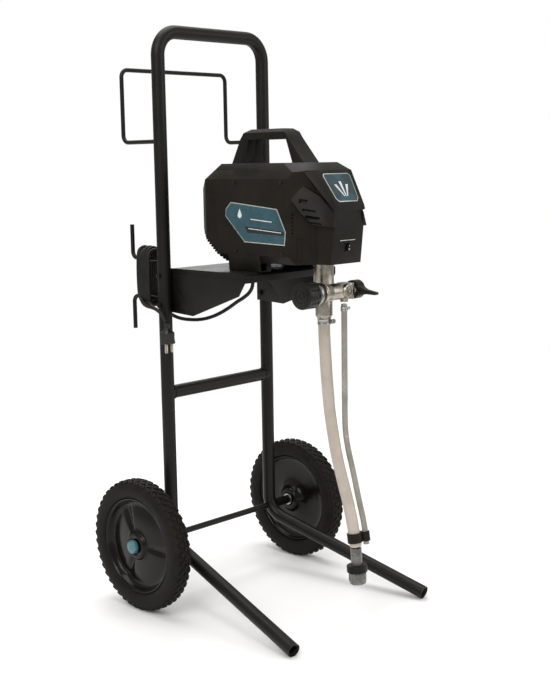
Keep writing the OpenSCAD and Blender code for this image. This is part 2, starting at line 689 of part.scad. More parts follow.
// The fan stays clear of the back cover's sloping edge, which rises at 45 degrees
fan_r = min(30, side_profile[5][0] + side_profile[5][1] - fan_y - 11 - casing_wall * sqrt(2) - 1.5 - motor_z);
module motor_fan() color("#2c2c2c") on_shelf() translate([0, 0, motor_z]) {
    difference() {
        along_y(fan_y, fan_y + 12, 20);
        along_y(fan_y - 1, fan_y + 13, shaft_d);
    }
    for (a = [0 : 45 : 315]) rotate([0, a, 0]) translate([9, fan_y + 2, -1]) cube([fan_r - 9, 9, 2]);
}

// A straight-toothed gear wheel of n teeth, drawn in its own plane
function gear_points(n) = let (r = gear_module * n / 2, a = 360 / n) [for (i = [0 : n - 1]) each [
    for (q = [[-0.29, -1.25], [-0.15, 0.95], [0.15, 0.95], [0.29, -1.25]])
        (r + q[1] * gear_module) * [cos((i + q[0]) * a), sin((i + q[0]) * a)]]];

module gear_wheel(n, w, bore, turn) difference() {
    rotate([0, 0, turn]) linear_extrude(w) polygon(gear_points(n));
    translate([0, 0, -1]) cylinder(d = bore, h = w + 2);
}

// Half a tooth's turn puts a gap of the pinion opposite a tooth of the gear.
module pinion() color("#b8b8b8") on_shelf() translate([0, gear_y + gear_w, motor_z])
    rotate([90, 0, 0]) gear_wheel(pinion_teeth, gear_w, shaft_d, -90 + 180 / pinion_teeth);

module reduction_gear() color("#c9b27a") on_shelf() translate([0, gear_y + gear_w, gear_z])
    rotate([90, 0, 0]) gear_wheel(gear_teeth, gear_w, crank_shaft_d, 90);

module crank_shaft() color("#8d8f92") on_shelf() translate([0, 0, gear_z]) {
    along_y(8 + 7, plate_y[1] + plate_t, crank_shaft_d);
    along_y(rod_t / 2 + 2.5, 8 + 7, 42);
    translate([0, 0, crank_throw]) {
        along_y(-rod_t / 2 - 1, rod_t / 2 + 2.5, crank_pin_d);
        along_y(-rod_t / 2 - 3, -rod_t / 2 - 1, crank_pin_d + 5);
    }
}

module connecting_rod() color("#a6a8aa") on_shelf() {
    difference() {
        union() {
            translate([0, 0, gear_z + crank_throw]) along_y(-rod_t / 2, rod_t / 2, crank_pin_d + 8);
            translate([0, 0, wrist_z]) along_y(-rod_t / 2, rod_t / 2, 15);
            box([-5, 5], [-rod_t / 2 + 1, rod_t / 2 - 1], [wrist_z, gear_z + crank_throw]);
        }
        translate([0, 0, gear_z + crank_throw]) along_y(-rod_t, rod_t, crank_pin_d + 2 * fit_gap);
    }
    translate([0, 0, wrist_z]) along_y(-cheek_in + 0.5, cheek_in - 0.5, wrist_pin_d);
}

// ---------- Pump ----------

piston_base_z = 2;
module piston_rod() color("#d0d2d4") on_shelf() difference() {
    union() {
        translate([0, 0, -30]) cylinder(d = piston_d, h = 32);
        translate([0, 0, piston_base_z]) cylinder(d = pump_d - 6 - 2 * fit_gap, h = 10);
        for (s = [-1, 1]) box([-8, 8], [s > 0 ? cheek_in : -cheek_in - 5, s > 0 ? cheek_in + 5 : -cheek_in],
            [piston_base_z + 9, wrist_z + 8]);
    }
    translate([0, 0, wrist_z]) along_y(-20, 20, wrist_pin_d + 0.2);
}

seal_z = [-27, -19];
module pump_seals() color("#e6e2d6") on_shelf() difference() {
    translate([0, 0, seal_z[0]]) cylinder(d = piston_d + 10, h = seal_z[1] - seal_z[0]);
    translate([0, 0, seal_z[0] - 1]) cylinder(d = piston_d + 2 * fit_gap, h = seal_z[1] - seal_z[0] + 2);
}

module pump_cylinder() color("#a9a79f") on_shelf() difference() {
    union() {
        translate([0, 0, inlet_top]) cylinder(d = pump_d, h = seat_z - inlet_top);
        translate([0, 0, seat_z]) cylinder(d = flange_d, h = flange_t);
        // Web that carries the control barrel
        box([-barrel_d / 2, valve_in_x], [-barrel_front, 0], [barrel_z + web_z[0], barrel_z + web_z[1]]);
        translate([0, -barrel_front, barrel_z]) along_x(barrel_out_x + 14, valve_in_x, barrel_d);
    }
    translate([0, 0, seal_z[1]]) cylinder(d = pump_d - 6, h = neck_top + 2 - seal_z[1]);
    translate([0, 0, neck_top + 1]) cylinder(r = 18, h = 20);
    translate([0, 0, seal_z[0]]) cylinder(d = piston_d + 10, h = seal_z[1] - seal_z[0] + 1);
    translate([0, 0, inlet_top - 1]) cylinder(d = piston_d + 3, h = seal_z[0] - inlet_top + 2);
    translate([0, -barrel_front, barrel_z]) along_x(barrel_out_x, valve_x, 8);
    translate([0, 0, barrel_z]) along_y(0, 30, 5);
}

module inlet_valve() color("#a09d94") on_shelf() difference() {
    union() {
        translate([0, 0, -80]) cylinder(d = inlet_d, h = inlet_top + 80);
        translate([0, 0, -86]) cylinder(d1 = suction_d + 2, d2 = inlet_d, h = 6);
        translate([0, 0, inlet_bottom - 8]) cylinder(d = suction_d - 5, h = 12);
    }
    translate([0, 0, -110]) cylinder(d = seat_d, h = 60);
    translate([0, 0, ball_seat_z]) cylinder(d = ball_d + 3, h = 20);
}

// Steel check ball, resting on the inlet seat
module inlet_ball() color("#e0e0e0") on_shelf()
    translate([0, 0, ball_seat_z + sqrt(ball_d * ball_d - seat_d * seat_d) / 2 + fit_gap]) sphere(d = ball_d);

module outlet_fitting() color("#b3b1aa") on_shelf() translate([0, 0, barrel_z]) difference() {
    union() {
        along_y(pump_d / 2 - 1.5, pump_d / 2 + 8, 17);
        along_y(pump_d / 2 + 8, pump_d / 2 + 22, outlet_d);
    }
    along_y(0, 50, 5);
    translate([0, 0, -30]) cylinder(d = pump_d, h = 60);
}

// Silver body of the pressure control, screwed on the barrel's left end
module control_barrel() color("#b5b3ac") on_shelf() translate([0, -barrel_front, barrel_z]) {
    along_x(collar_in_x + loose_gap, barrel_out_x, 36);
    along_x(barrel_out_x, barrel_out_x + 14, 32);
    along_x(knob_out_x + 14, collar_in_x + loose_gap, 9.9);
}

// Knob with finger flutes and a coloured collar
module pressure_knob() color("#131313") on_shelf() translate([0, -barrel_front, barrel_z]) difference() {
    union() {
        along_x(knob_out_x, knob_in_x, knob_d);
        along_x(knob_in_x, collar_in_x, 39);
    }
    for (a = [0 : 30 : 330]) rotate([a, 0, 0]) translate([0, knob_d / 2 + 2.5, 0])
        along_x(knob_out_x + 4, knob_in_x - 3, 8);
    along_x(knob_out_x + 12, collar_in_x + 1, 10);
}

// Round valve body on the barrel's right end, with a boss for the drain barb
module prime_valve() color("#98958c") on_shelf() translate([valve_x, -barrel_front, barrel_z]) difference() {
    union() {
        translate([0, 0, -14]) cylinder(d = 31, h = 28);
        along_x(valve_in_x - valve_x, 0, 24);
        along_x(0, lever_x - valve_x - loose_gap, 24);
        along_x(0, lever_x - valve_x + lever_t - 4, 9.9);
        translate([drain_x - valve_x, 0, -20]) cylinder(d = 14, h = 8);
    }
    translate([drain_x - valve_x, 0, -21]) cylinder(d = 5, h = 20);
    translate([-valve_x, 0, 0]) {
        along_x(barrel_out_x, valve_x, 6);
        along_x(-barrel_d, valve_in_x, barrel_d);
        box([-barrel_d, valve_in_x], [0, barrel_d], web_z);
    }
}

// Lever knob: a round head with a tapering tail that points forward
lever_tip = [-50, -5];
lever_neck = [-27, -3];
module prime_lever() color("#101010") on_shelf() translate([0, -barrel_front, barrel_z]) difference() {
    union() {
        along_x(lever_x, lever_x + lever_t, 34);
        hull() {
            translate([0, -6, -1]) along_x(lever_x + 2, lever_x + lever_t - 2, 22, $fn = hull_fn);
            translate([0, lever_neck[0], lever_neck[1]]) along_x(lever_x + 4, lever_x + lever_t - 4, 8, $fn = hull_fn);
        }
        hull() {
            translate([0, lever_neck[0], lever_neck[1]]) along_x(lever_x + 4, lever_x + lever_t - 4, 8, $fn = hull_fn);
            translate([0, lever_tip[0], lever_tip[1]]) along_x(lever_x + 5, lever_x + lever_t - 5, 5, $fn = hull_fn);
        }
    }
    along_x(lever_x - 1, lever_x + lever_t - 3, 10);
}

module drain_barb() color("#b3b1aa") on_shelf() translate([drain_x, -barrel_front, barrel_z]) difference() {
    union() {
        translate([0, 0, -24]) cylinder(d = 10, h = 4, $fn = 6);
        translate([0, 0, -38]) cylinder(d = drain_d - 3.4, h = 16);
    }
    translate([0, 0, -40]) cylinder(d = 4, h = 30);
}

// Screw clamps on the suction hose's top end and on the drain tube's top end
module hose_clamps() color("#8c8a84") on_shelf() {
    difference() {
        union() {
            translate([0, 0, -97]) cylinder(d = suction_d + 3, h = 11);
            box([4, 15], [-17, -9], [-96, -87]);
        }
        translate([0, 0, -98]) cylinder(d = suction_d, h = 13);
    }
    translate([drain_x, -barrel_front, barrel_z]) difference() {
        union() {
            translate([0, 0, -37]) cylinder(d = drain_d + 2.4, h = 8);
            box([5, 14], [-4, 4], [-37, -29]);
        }
        translate([0, 0, -38]) cylinder(d = drain_d, h = 10);
    }
}

module suction_hose() color("#b9ad96") on_shelf() difference() {
    sweep(suction_route, suction_d);
    translate([0, 0, -100]) cylinder(d = suction_d - 5, h = 40);
    translate([0, 0, -86]) cylinder(d = 40, h = 40);
}

module drain_tube() color("#a7a096") on_shelf() difference() {
    sweep(drain_route, drain_d, 10);
    translate([drain_x, -barrel_front, barrel_z - 40]) cylinder(d = drain_d - 3.4, h = 30);
}

// Black clip that ties the drain tube to the suction hose
clip_drain = [18, -11];
clip_gap = 0.5;
module tube_clip() color("#0f0f0f") on_shelf() translate(clip_p) rotate([-9, 0, 0]) difference() {
    union() {
        translate([0, 0, -9]) cylinder(d = suction_d + 5, h = 18);
        translate([clip_drain[0], clip_drain[1], -9]) cylinder(d = drain_d + 5, h = 18);
        translate([0, -10, -9]) cube([clip_drain[0], 12, 18]);
    }
    translate([0, 0, -10]) cylinder(d = suction_d + 2 * clip_gap, h = 20);
    translate([clip_drain[0], clip_drain[1], -10]) cylinder(d = drain_d + 2 * clip_gap, h = 20);
}

// Strainer cup on the suction hose's lower end
module strainer() color("#30302c") on_shelf() translate(strainer_p) rotate([-4, 0, 0]) difference() {
    union() {
        cylinder(d = suction_d - 1.5, h = 32);
        translate([0, 0, -12]) cylinder(d = 38, h = 13);
        translate([0, 0, -34]) cylinder(d1 = 30, d2 = 33, h = 22);
        box([12, 23], [-5, 5], [-9, 0]);
    }
    translate([0, 0, -30]) cylinder(d = 25, h = 28);
    translate([0, 0, -3]) cylinder(d = suction_d - 6, h = 40);
    for (a = [0 : 45 : 315]) rotate([0, 0, a]) translate([12, -3, -27]) cube([8, 6, 11]);
}

// Rocker of the power switch, pivoted across the nose on two stub pins
module power_toggle() color("#222222") on_shelf() translate([0, -56, toggle_z]) {
    rotate([8, 0, 0]) box([-3.8, 3.8], [-6, 5], [-5.3, 5.3]);
    along_x(-4.4, 4.4, 3);
}

// ---------- Power cord ----------

// Strain relief from the belly through the shelf, drawn out to the cord
relief_len = 22;
module cord_relief() color("#101010") on_cart() translate([lead_route[0][0], lead_route[0][1], lead_route[0][2]]) {
    cylinder(d1 = cord_d + 2, d2 = cord_d + 4.4, h = relief_len - 5);
    translate([0, 0, relief_len - 5]) cylinder(d = cord_d + 4.4, h = shelf_z + belly_z - lead_route[0][2] - relief_len + 5);
}

// The two stretches that aren't wound: from the shelf's grommet, and down to the plug
module power_lead() color("#101010") on_cart() {
    sweep(lead_route, cord_d, 10);
    sweep(tail_route, cord_d, 10);
}

// Turns of cord round the two hook rods, as one closed ring
module hank_outline(d) {
    r = (hank_x[1] - hank_x[0]) / 2 - d;
    for (z = [hank_z[0] + d + r, hank_z[1] - d - r]) translate([(hank_x[0] + hank_x[1]) / 2, z]) circle(r = r);
    translate([hank_x[0] + d, hank_z[0] + d + r]) square([2 * r, hank_z[1] - hank_z[0] - 2 * d - 2 * r]);
}
module cord_hank() color("#101010") on_cart() slab_y(hank_y[0], hank_y[1]) difference() {
    hank_outline(0);
    hank_outline(cord_d * 1.3);
}

// Moulded three-pin plug hanging on its short tail
module power_plug() color("#101010") on_cart() translate(plug_p) {
        translate([0, 0, -plug_len]) linear_extrude(plug_len - 8) difference() {
            square([26, 24], center = true);
            for (x = [-1, 1], y = [-1, 1]) translate([x * 13, y * 12]) rotate([0, 0, 45]) square(7, center = true);
        }
        translate([0, 0, -9]) cylinder(d1 = 19, d2 = 10, h = 12);
        for (x = [-6.35, 6.35]) box([x - 0.8, x + 0.8], [-7, -1], [-plug_len - 17, -plug_len]);
        translate([0, 5, -plug_len - 19]) cylinder(d = 4.8, h = 19);
}

left_upright();
right_upright();
push_handle();
handle_spigots();
crossbar();
axle_spacers();
axle();
axle_washers();
axle_caps();
leg_plugs();
hose_rack();
cord_hooks();
shelf();
gussets();
bracket_bolts();
left_tyre();
right_tyre();
left_hub();
right_hub();
left_bushes();
right_bushes();
left_casing();
right_casing();
nose_cover();
rear_cover();
nose_badge();
side_badges();
casing_screws();
foot_rails();
drive_housing();
bearings();
motor_can();
motor_end_bell();
armature();
motor_fan();
pinion();
reduction_gear();
crank_shaft();
connecting_rod();
piston_rod();
pump_seals();
pump_cylinder();
inlet_valve();
inlet_ball();
outlet_fitting();
control_barrel();
pressure_knob();
prime_valve();
prime_lever();
drain_barb();
hose_clamps();
suction_hose();
drain_tube();
tube_clip();
strainer();
power_toggle();
cord_relief();
power_lead();
cord_hank();
power_plug();
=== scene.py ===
"""Airless paint sprayer on its two-wheeled stand cart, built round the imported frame.

Metres, +Z up, the front of the cart faces -Y. The sections follow the object as it is put together.
"""
import json
import math

import bpy
from mathutils import Matrix, Vector

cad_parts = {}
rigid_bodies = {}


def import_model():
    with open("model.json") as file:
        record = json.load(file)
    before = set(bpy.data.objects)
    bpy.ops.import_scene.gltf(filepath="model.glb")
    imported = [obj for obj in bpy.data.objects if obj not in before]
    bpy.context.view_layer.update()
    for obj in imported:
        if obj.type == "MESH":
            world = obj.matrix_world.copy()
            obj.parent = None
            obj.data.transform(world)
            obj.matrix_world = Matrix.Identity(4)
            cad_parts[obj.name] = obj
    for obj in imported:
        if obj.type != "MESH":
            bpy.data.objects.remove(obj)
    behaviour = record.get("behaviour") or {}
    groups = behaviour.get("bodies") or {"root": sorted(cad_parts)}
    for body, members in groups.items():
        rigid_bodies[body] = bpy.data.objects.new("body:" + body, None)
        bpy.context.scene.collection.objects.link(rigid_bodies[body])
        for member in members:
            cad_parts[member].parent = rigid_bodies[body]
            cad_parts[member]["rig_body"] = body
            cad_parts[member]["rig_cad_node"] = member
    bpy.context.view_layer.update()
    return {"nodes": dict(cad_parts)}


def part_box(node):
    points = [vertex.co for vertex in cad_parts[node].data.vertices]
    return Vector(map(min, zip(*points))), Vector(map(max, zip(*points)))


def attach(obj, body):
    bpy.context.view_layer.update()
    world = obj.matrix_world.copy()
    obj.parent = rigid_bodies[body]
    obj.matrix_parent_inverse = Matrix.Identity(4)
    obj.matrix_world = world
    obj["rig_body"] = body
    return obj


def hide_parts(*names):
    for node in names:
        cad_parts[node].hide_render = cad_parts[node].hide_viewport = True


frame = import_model()
nodes = frame["nodes"]

# ---------- Camera ----------
# A long lens at chest height, in front of the cart and to its left, looking slightly down.
turn, drop, lean = (math.radians(angle) for angle in (-45.39, 8.88, -0.93))
ahead = Vector((-math.sin(turn) * math.cos(drop), math.cos(turn) * math.cos(drop), -math.sin(drop)))
level = ahead.cross(Vector((0, 0, 1))).normalized()
above = level.cross(ahead)
across = level * math.cos(lean) + above * math.sin(lean)
upward = above * math.cos(lean) - level * math.sin(lean)

lens = bpy.data.cameras.new("view")
lens.sensor_width = 36
lens.lens = 60.78
lens.clip_end = 50
camera = bpy.data.objects.new("view", lens)
bpy.context.collection.objects.link(camera)
camera.matrix_world = Matrix.Translation((-1.55024, -1.56166, 0.8438)) @ Matrix(
    (across, upward, -ahead)).transposed().to_4x4()
bpy.context.scene.camera = camera

# ---------- Power cord ----------
# Rubber-sheathed three-core lead. It leaves the belly through the shelf, sags to the left upright,
# is wound round the two rods behind it and ends in a moulded plug hanging by the tube.
MM = 0.001
CORD = 7 * MM
upright_y = sum(corner.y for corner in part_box("push_handle")) / 2
hank_low, hank_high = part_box("cord_hank")


def by_cart(x, y, z):
    """A point in millimetres from the uprights' plane and the floor, in the frame's metres."""
    return Vector((x * MM, y * MM + upright_y, z * MM))


def tint(code):
    """Linear colour of an sRGB hex code."""
    parts = [int(code[i:i + 2], 16) / 255 for i in (1, 3, 5)]
    return [p / 12.92 if p <= 0.04045 else ((p + 0.055) / 1.055) ** 2.4 for p in parts] + [1.0]


def add(tree, kind, settings=None, links=None):
    """Adds one shader node, sets its values and links its inputs."""
    node = tree.nodes.new("ShaderNode" + kind)
    for name, value in (settings or {}).items():
        if name in node.inputs:
            node.inputs[name].default_value = value
        else:
            setattr(node, name, value)
    for name, socket in (links or {}).items():
        tree.links.new(socket, node.inputs[name])
    return node


def surface(name, colours, mottle, grain, depth, gloss, **shader):
    """A real finish: colour and gloss vary over patches, and a finer grain stands up from it.

    mottle, grain and depth are the patch size, grain size and grain height in millimetres.
    """
    made = bpy.data.materials.new(name)
    made.use_nodes = True
    tree = made.node_tree
    body = tree.nodes["Principled BSDF"]
    for socket, value in shader.items():
        body.inputs[socket.replace("_", " ")].default_value = value
    place = add(tree, "TexCoord").outputs["Object"]
    patches = add(tree, "TexNoise", {"Scale": 1 / (mottle * MM), "Detail": 5.0, "Roughness": 0.6}, {"Vector": place})
    shade = add(tree, "ValToRGB", links={"Fac": patches.outputs["Fac"]})
    for stop, position, code in zip(shade.color_ramp.elements, (0.36, 0.66), colours):
        stop.position = position
        stop.color = tint(code)
    wear = add(tree, "MapRange", {"From Min": 0.3, "From Max": 0.7, "To Min": gloss[0], "To Max": gloss[1]},
               {"Value": patches.outputs["Fac"]})
    fine = add(tree, "TexNoise", {"Scale": 1 / (grain * MM), "Detail": 3.0, "Roughness": 0.55}, {"Vector": place})
    relief = add(tree, "Bump", {"Strength": 1.0, "Distance": depth * MM}, {"Height": fine.outputs["Fac"]})
    tree.links.new(shade.outputs["Color"], body.inputs["Base Color"])
    tree.links.new(wear.outputs["Result"], body.inputs["Roughness"])
    tree.links.new(relief.outputs["Normal"], body.inputs["Normal"])
    return made


# Matt extruded rubber sheath, slightly dusty and faintly ribbed by its cores.
cord_rubber = surface("sheathed_rubber", ("#100e0c", "#1b1815"), 30, 2.5, 0.12, (0.42, 0.6), Specular_IOR_Level=0.3)


def cable(name, points, diameter):
    """A round flexible line through given points, with closed ends."""
    line = bpy.data.curves.new(name, "CURVE")
    line.dimensions = "3D"
    spline = line.splines.new("BEZIER")
    spline.bezier_points.add(len(points) - 1)
    for knot, point in zip(spline.bezier_points, points):
        knot.co = point
        knot.handle_left_type = knot.handle_right_type = "AUTO"
    line.bevel_depth = diameter / 2
    line.bevel_resolution = 4
    line.resolution_u = 6
    line.use_fill_caps = True
    piece = bpy.data.objects.new(name, line)
    bpy.context.collection.objects.link(piece)
    return piece


lead = [by_cart(*p) for p in (
    (-40, -142, 627), (-40, -140, 615), (-41, -133, 604), (-43, -120, 594), (-46, -103, 584), (-50, -83, 571),
    (-56, -64, 560), (-62, -45, 552), (-69, -24, 547), (-77, -4, 546), (-87, 9, 548), (-97, 18, 553),
    (-107, 23, 561), (-115, 25, 573), (-119, 26, 588))]
tail = [by_cart(*p) for p in (
    (-149, 60, 608), (-150, 57, 597), (-153, 48, 587), (-157, 36, 581), (-161, 20, 578), (-162, 6, 577),
    (-161, -7, 573), (-158, -18, 564), (-154, -24, 552))]

# Turns round the two rods: ovals that creep back along the rods and hang a little unevenly.
TURNS = 5.5
PER_TURN = 20
middle = (hank_low + hank_high) / 2
reach = (hank_high.x - hank_low.x) / 2 - CORD / 2
tall = (hank_high.z - hank_low.z) / 2 - CORD / 2 - reach
winding = []
for i in range(1, int(TURNS * PER_TURN) - 1):
    angle = 2 * math.pi * i / PER_TURN
    share = i / (TURNS * PER_TURN)
    slack = 1 - 0.05 * (1 + math.sin(2.1 * angle / 6.28 * 2.2))
    height = tall * (1 if math.sin(angle) > 0 else -1) * min(1, abs(math.sin(angle)) * 1.9) * slack
    winding.append(Vector((
        middle.x + reach * math.cos(angle),
        hank_low.y + CORD * 0.9 + (hank_high.y - hank_low.y - CORD * 1.8) * share,
        middle.z + height + reach * math.sin(angle) * slack)))
route = lead + winding + tail
power_cord = cable("power_cord", route, CORD)
power_cord.data.materials.append(cord_rubber)

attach(power_cord, "cart")
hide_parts("power_lead", "cord_hank")

# ---------- Strain relief and plug ----------
# The relief is a soft moulded sleeve with flex slots, tapering down to the cord where it leaves the
# shelf. The plug is moulded on the far end: a grip body with ribbed sides, two flat blades, a round pin.
relief_low, relief_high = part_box("cord_relief")
relief_axis = (relief_low + relief_high) / 2
plug_low, plug_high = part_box("power_plug")
plug_axis = (plug_low + plug_high) / 2


def only(piece):
    """Makes one piece the selected and active object."""
    if bpy.context.mode != "OBJECT":
        bpy.ops.object.mode_set(mode="OBJECT")
    bpy.ops.object.select_all(action="DESELECT")
    piece.select_set(True)
    bpy.context.view_layer.objects.active = piece


def named(piece, name):
    """Gives a new piece and its mesh their name."""
    piece.name = piece.data.name = name
    return piece


def outline(name, corners, fill="NGON"):
    """A flat face or an open loop with these corners."""
    bpy.ops.object.select_all(action="DESELECT")
    bpy.ops.mesh.primitive_circle_add(vertices=len(corners), fill_type=fill)
    piece = named(bpy.context.object, name)
    for vertex, corner in zip(piece.data.vertices, corners):
        vertex.co = corner
    return piece


def slab(name, corners, push):
    """A plate: an outline extruded by push."""
    piece = outline(name, corners)
    bpy.ops.object.mode_set(mode="EDIT")
    bpy.ops.mesh.select_all(action="SELECT")
    bpy.ops.mesh.extrude_region_move(TRANSFORM_OT_translate={"value": push})
    bpy.ops.mesh.select_all(action="SELECT")
    bpy.ops.mesh.normals_make_consistent(inside=False)
    bpy.ops.object.mode_set(mode="OBJECT")
    return piece


def turned(name, section, centre, axis, steps=64):
    """A ring or a turned solid: a section of (radius, distance along the axis) in mm, spun about the axis."""
    axis = Vector(axis)
    out = Vector((0, -1, 0)) if abs(axis.y) < 0.5 else Vector((1, 0, 0))
    piece = outline(name, [centre + out * r * MM + axis * h * MM for r, h in section], "NOTHING")
    bpy.ops.object.mode_set(mode="EDIT")
    bpy.ops.mesh.select_all(action="SELECT")
    bpy.ops.mesh.spin(steps=steps, angle=2 * math.pi, center=centre, axis=axis)
    bpy.ops.mesh.select_all(action="SELECT")
    bpy.ops.mesh.remove_doubles(threshold=0.000005)
    bpy.ops.mesh.normals_make_consistent(inside=False)
    bpy.ops.object.mode_set(mode="OBJECT")
    return piece


def rounded(piece, width, segments=3, angle=28):
    """Breaks a piece's sharp edges with a real radius, in millimetres."""
    only(piece)
    edge = piece.modifiers.new("edge_radius", "BEVEL")
    edge.width = width * MM
    edge.segments = segments
    edge.limit_method = "ANGLE"
    edge.angle_limit = math.radians(angle)
    edge.use_clamp_overlap = True
    bpy.ops.object.modifier_apply(modifier=edge.name)
    return piece


def fitted(piece, body, look, slot, *stands_for, crease=32):
    """Finishes a piece: smooth shading up to its creases, its material, its body and its record."""
    only(piece)
    bpy.ops.object.transform_apply(location=True, rotation=True, scale=True)
    bpy.ops.object.shade_smooth_by_angle(angle=math.radians(crease))
    piece.data.materials.clear()
    piece.data.materials.append(look)
    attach(piece, body)
    if stands_for:
        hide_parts(*stands_for)
    return piece


def joined(pieces, name):
    """Several meshes made one piece."""
    only(pieces[0])
    for piece in pieces:
        piece.select_set(True)
    bpy.ops.object.join()
    return named(bpy.context.object, name)


# Moulded PVC: a little glossier than the sheath, with the fine grain of its mould.
plug_pvc = surface("moulded_black_pvc", ("#131211", "#1c1b1a"), 25, 1.6, 0.05, (0.34, 0.46))
# Nickel-plated brass: bright, faintly warm, with handling marks.
plated_brass = surface("nickel_plated_brass", ("#b3ab9c", "#d4cdbf"), 6, 1.2, 0.02, (0.18, 0.34), Metallic=1.0)

ribs = [(2.6, 0), (CORD / MM / 2 + 0.9, 0)]
for i in range(5):
    base = 1.6 + i * 3.1
    grow = CORD / MM / 2 + 1.0 + i * 0.24
    ribs += [(grow, base), (grow, base + 1.9), (grow - 0.7, base + 2.2), (grow - 0.7, base + 2.9)]
relief_tall = (relief_high.z - relief_low.z) / MM
ribs += [(CORD / MM / 2 + 2.2, 17.5), (CORD / MM / 2 + 2.2, relief_tall), (2.6, relief_tall)]
strain_relief = turned("strain_relief", ribs, Vector((relief_axis.x, relief_axis.y, relief_low.z)), (0, 0, 1), 32)
fitted(strain_relief, "cart", plug_pvc, "soft_black_rubber", "cord_relief")

grip_top = plug_high.z - 10 * MM
grip_face = plug_low.z + 19 * MM
body_w, body_d = 13 * MM, 12 * MM
plug_body = slab("plug_body", [
    Vector((plug_axis.x + x * body_w, plug_axis.y + y * body_d, grip_face))
    for x, y in ((1, 0.62), (0.66, 1), (-0.66, 1), (-1, 0.62), (-1, -0.62), (-0.66, -1), (0.66, -1), (1, -0.62))],
    (0, 0, grip_top - grip_face))
bpy.ops.object.mode_set(mode="EDIT")
for height, scale in ((0.34, 0.9), (0.72, 0.96)):
    bpy.ops.mesh.select_all(action="SELECT")
    bpy.ops.mesh.bisect(plane_co=(0, 0, grip_face + (grip_top - grip_face) * height), plane_no=(0, 0, 1))
    bpy.ops.transform.resize(value=(scale, scale, 1), center_override=(plug_axis.x, plug_axis.y, grip_face))
bpy.ops.object.mode_set(mode="OBJECT")
for face in plug_body.data.polygons:
    face.select = face.normal.z > 0.9
for step in plug_body.data.vertices:
    step.select = False
bpy.ops.object.mode_set(mode="EDIT")
bpy.ops.mesh.select_mode(type="FACE")
for rise, scale in ((3, 0.72), (5, 0.62), (2, 0.92)):
    bpy.ops.mesh.extrude_region_move(TRANSFORM_OT_translate={"value": (0, 0, rise * MM)})
    bpy.ops.transform.resize(value=(scale, scale, 1), center_override=(plug_axis.x, plug_axis.y, grip_top))
bpy.ops.mesh.select_mode(type="VERT")
bpy.ops.object.mode_set(mode="OBJECT")
rounded(plug_body, 1.4, 3, 20)
fitted(plug_body, "cart", plug_pvc, "soft_black_rubber", "power_plug", crease=40)

blades = []
for side in (-1, 1):
    x = plug_axis.x + side * 6.35 * MM
    y = plug_axis.y - 4 * MM
    low = plug_low.z + 2 * MM
    root = grip_face + 1 * MM
    blade = slab("blade", [Vector((x - 0.8 * MM, y + dy * MM, z)) for dy, z in (
        (-3, root), (-3, low + 1.5 * MM), (-2, low), (2, low), (3, low + 1.5 * MM), (3, root))], (1.6 * MM, 0, 0))
    blades.append(rounded(blade, 0.25, 1))
earth = turned("earth", [(0, 0), (1.2, 0), (2.4, 2), (2.4, 21), (0, 21)],
               Vector((plug_axis.x, plug_axis.y + 5 * MM, plug_low.z)), (0, 0, 1), 24)
plug_pins = joined(blades + [earth], "plug_pins")
fitted(plug_pins, "cart", plated_brass, "zinc_steel")

# ---------- Suction hose and drain tube ----------
# Extruded flexible PVC, milky from use: a thick hose from the inlet valve down to the strainer and a
# thin tube beside it from the prime valve, both hanging with the set of their shipping coil.
pump_axis = sum(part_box("inlet_ball"), Vector()) / 2
shelf_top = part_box("shelf")[1].z
HOSE = 22 * MM
TUBE = 11 * MM


def by_shelf(x, y, z):
    """A point in millimetres from the pump's axis and the shelf's top, in the frame's metres."""
    return Vector((x * MM, y * MM + pump_axis.y, z * MM + shelf_top))


# Translucent soft PVC: light passes a little way in, so its body glows warm and even.
milky_hose = surface("milky_soft_pvc", ("#b9aea0", "#cbc1b4"), 60, 3, 0.05, (0.3, 0.42),
                     Subsurface_Weight=0.35, Subsurface_Scale=0.004, Transmission_Weight=0.1)
# The thin tube is clearer and greyer, and glossier.
clear_tube = surface("clear_soft_pvc", ("#9a948a", "#b3ada2"), 40, 3, 0.04, (0.16, 0.28),
                     Subsurface_Weight=0.2, Subsurface_Scale=0.003, Transmission_Weight=0.3)

hose_route = [by_shelf(*p) for p in (
    (0, 0, -86), (0, 0, -105), (0, -1, -130), (0, -3, -160), (0, -5, -190), (0, -8, -220), (0, -11, -250),
    (0, -16, -280), (0, -22, -310), (0, -29, -340), (0, -38, -370), (0, -48, -400), (0, -57, -428),
    (0, -64, -455), (0, -69, -478), (0, -72.5, -500))]
suction_line = cable("suction_line", hose_route, HOSE)
suction_line.data.materials.append(milky_hose)
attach(suction_line, "cart")
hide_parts("suction_hose")

tube_route = [by_shelf(*p) for p in (
    (20, -31, -62), (20, -31, -90), (20, -31, -130), (20, -31, -180), (20, -31, -230), (20, -31, -270),
    (20, -33, -300), (20, -38, -325), (20, -45, -350), (19, -54, -378), (18, -62, -405), (18, -69, -430),
    (18, -76, -455), (18, -80, -475), (18, -83, -497))]
drain_line = cable("drain_line", tube_route, TUBE)
drain_line.data.materials.append(clear_tube)
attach(drain_line, "cart")
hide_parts("drain_tube")

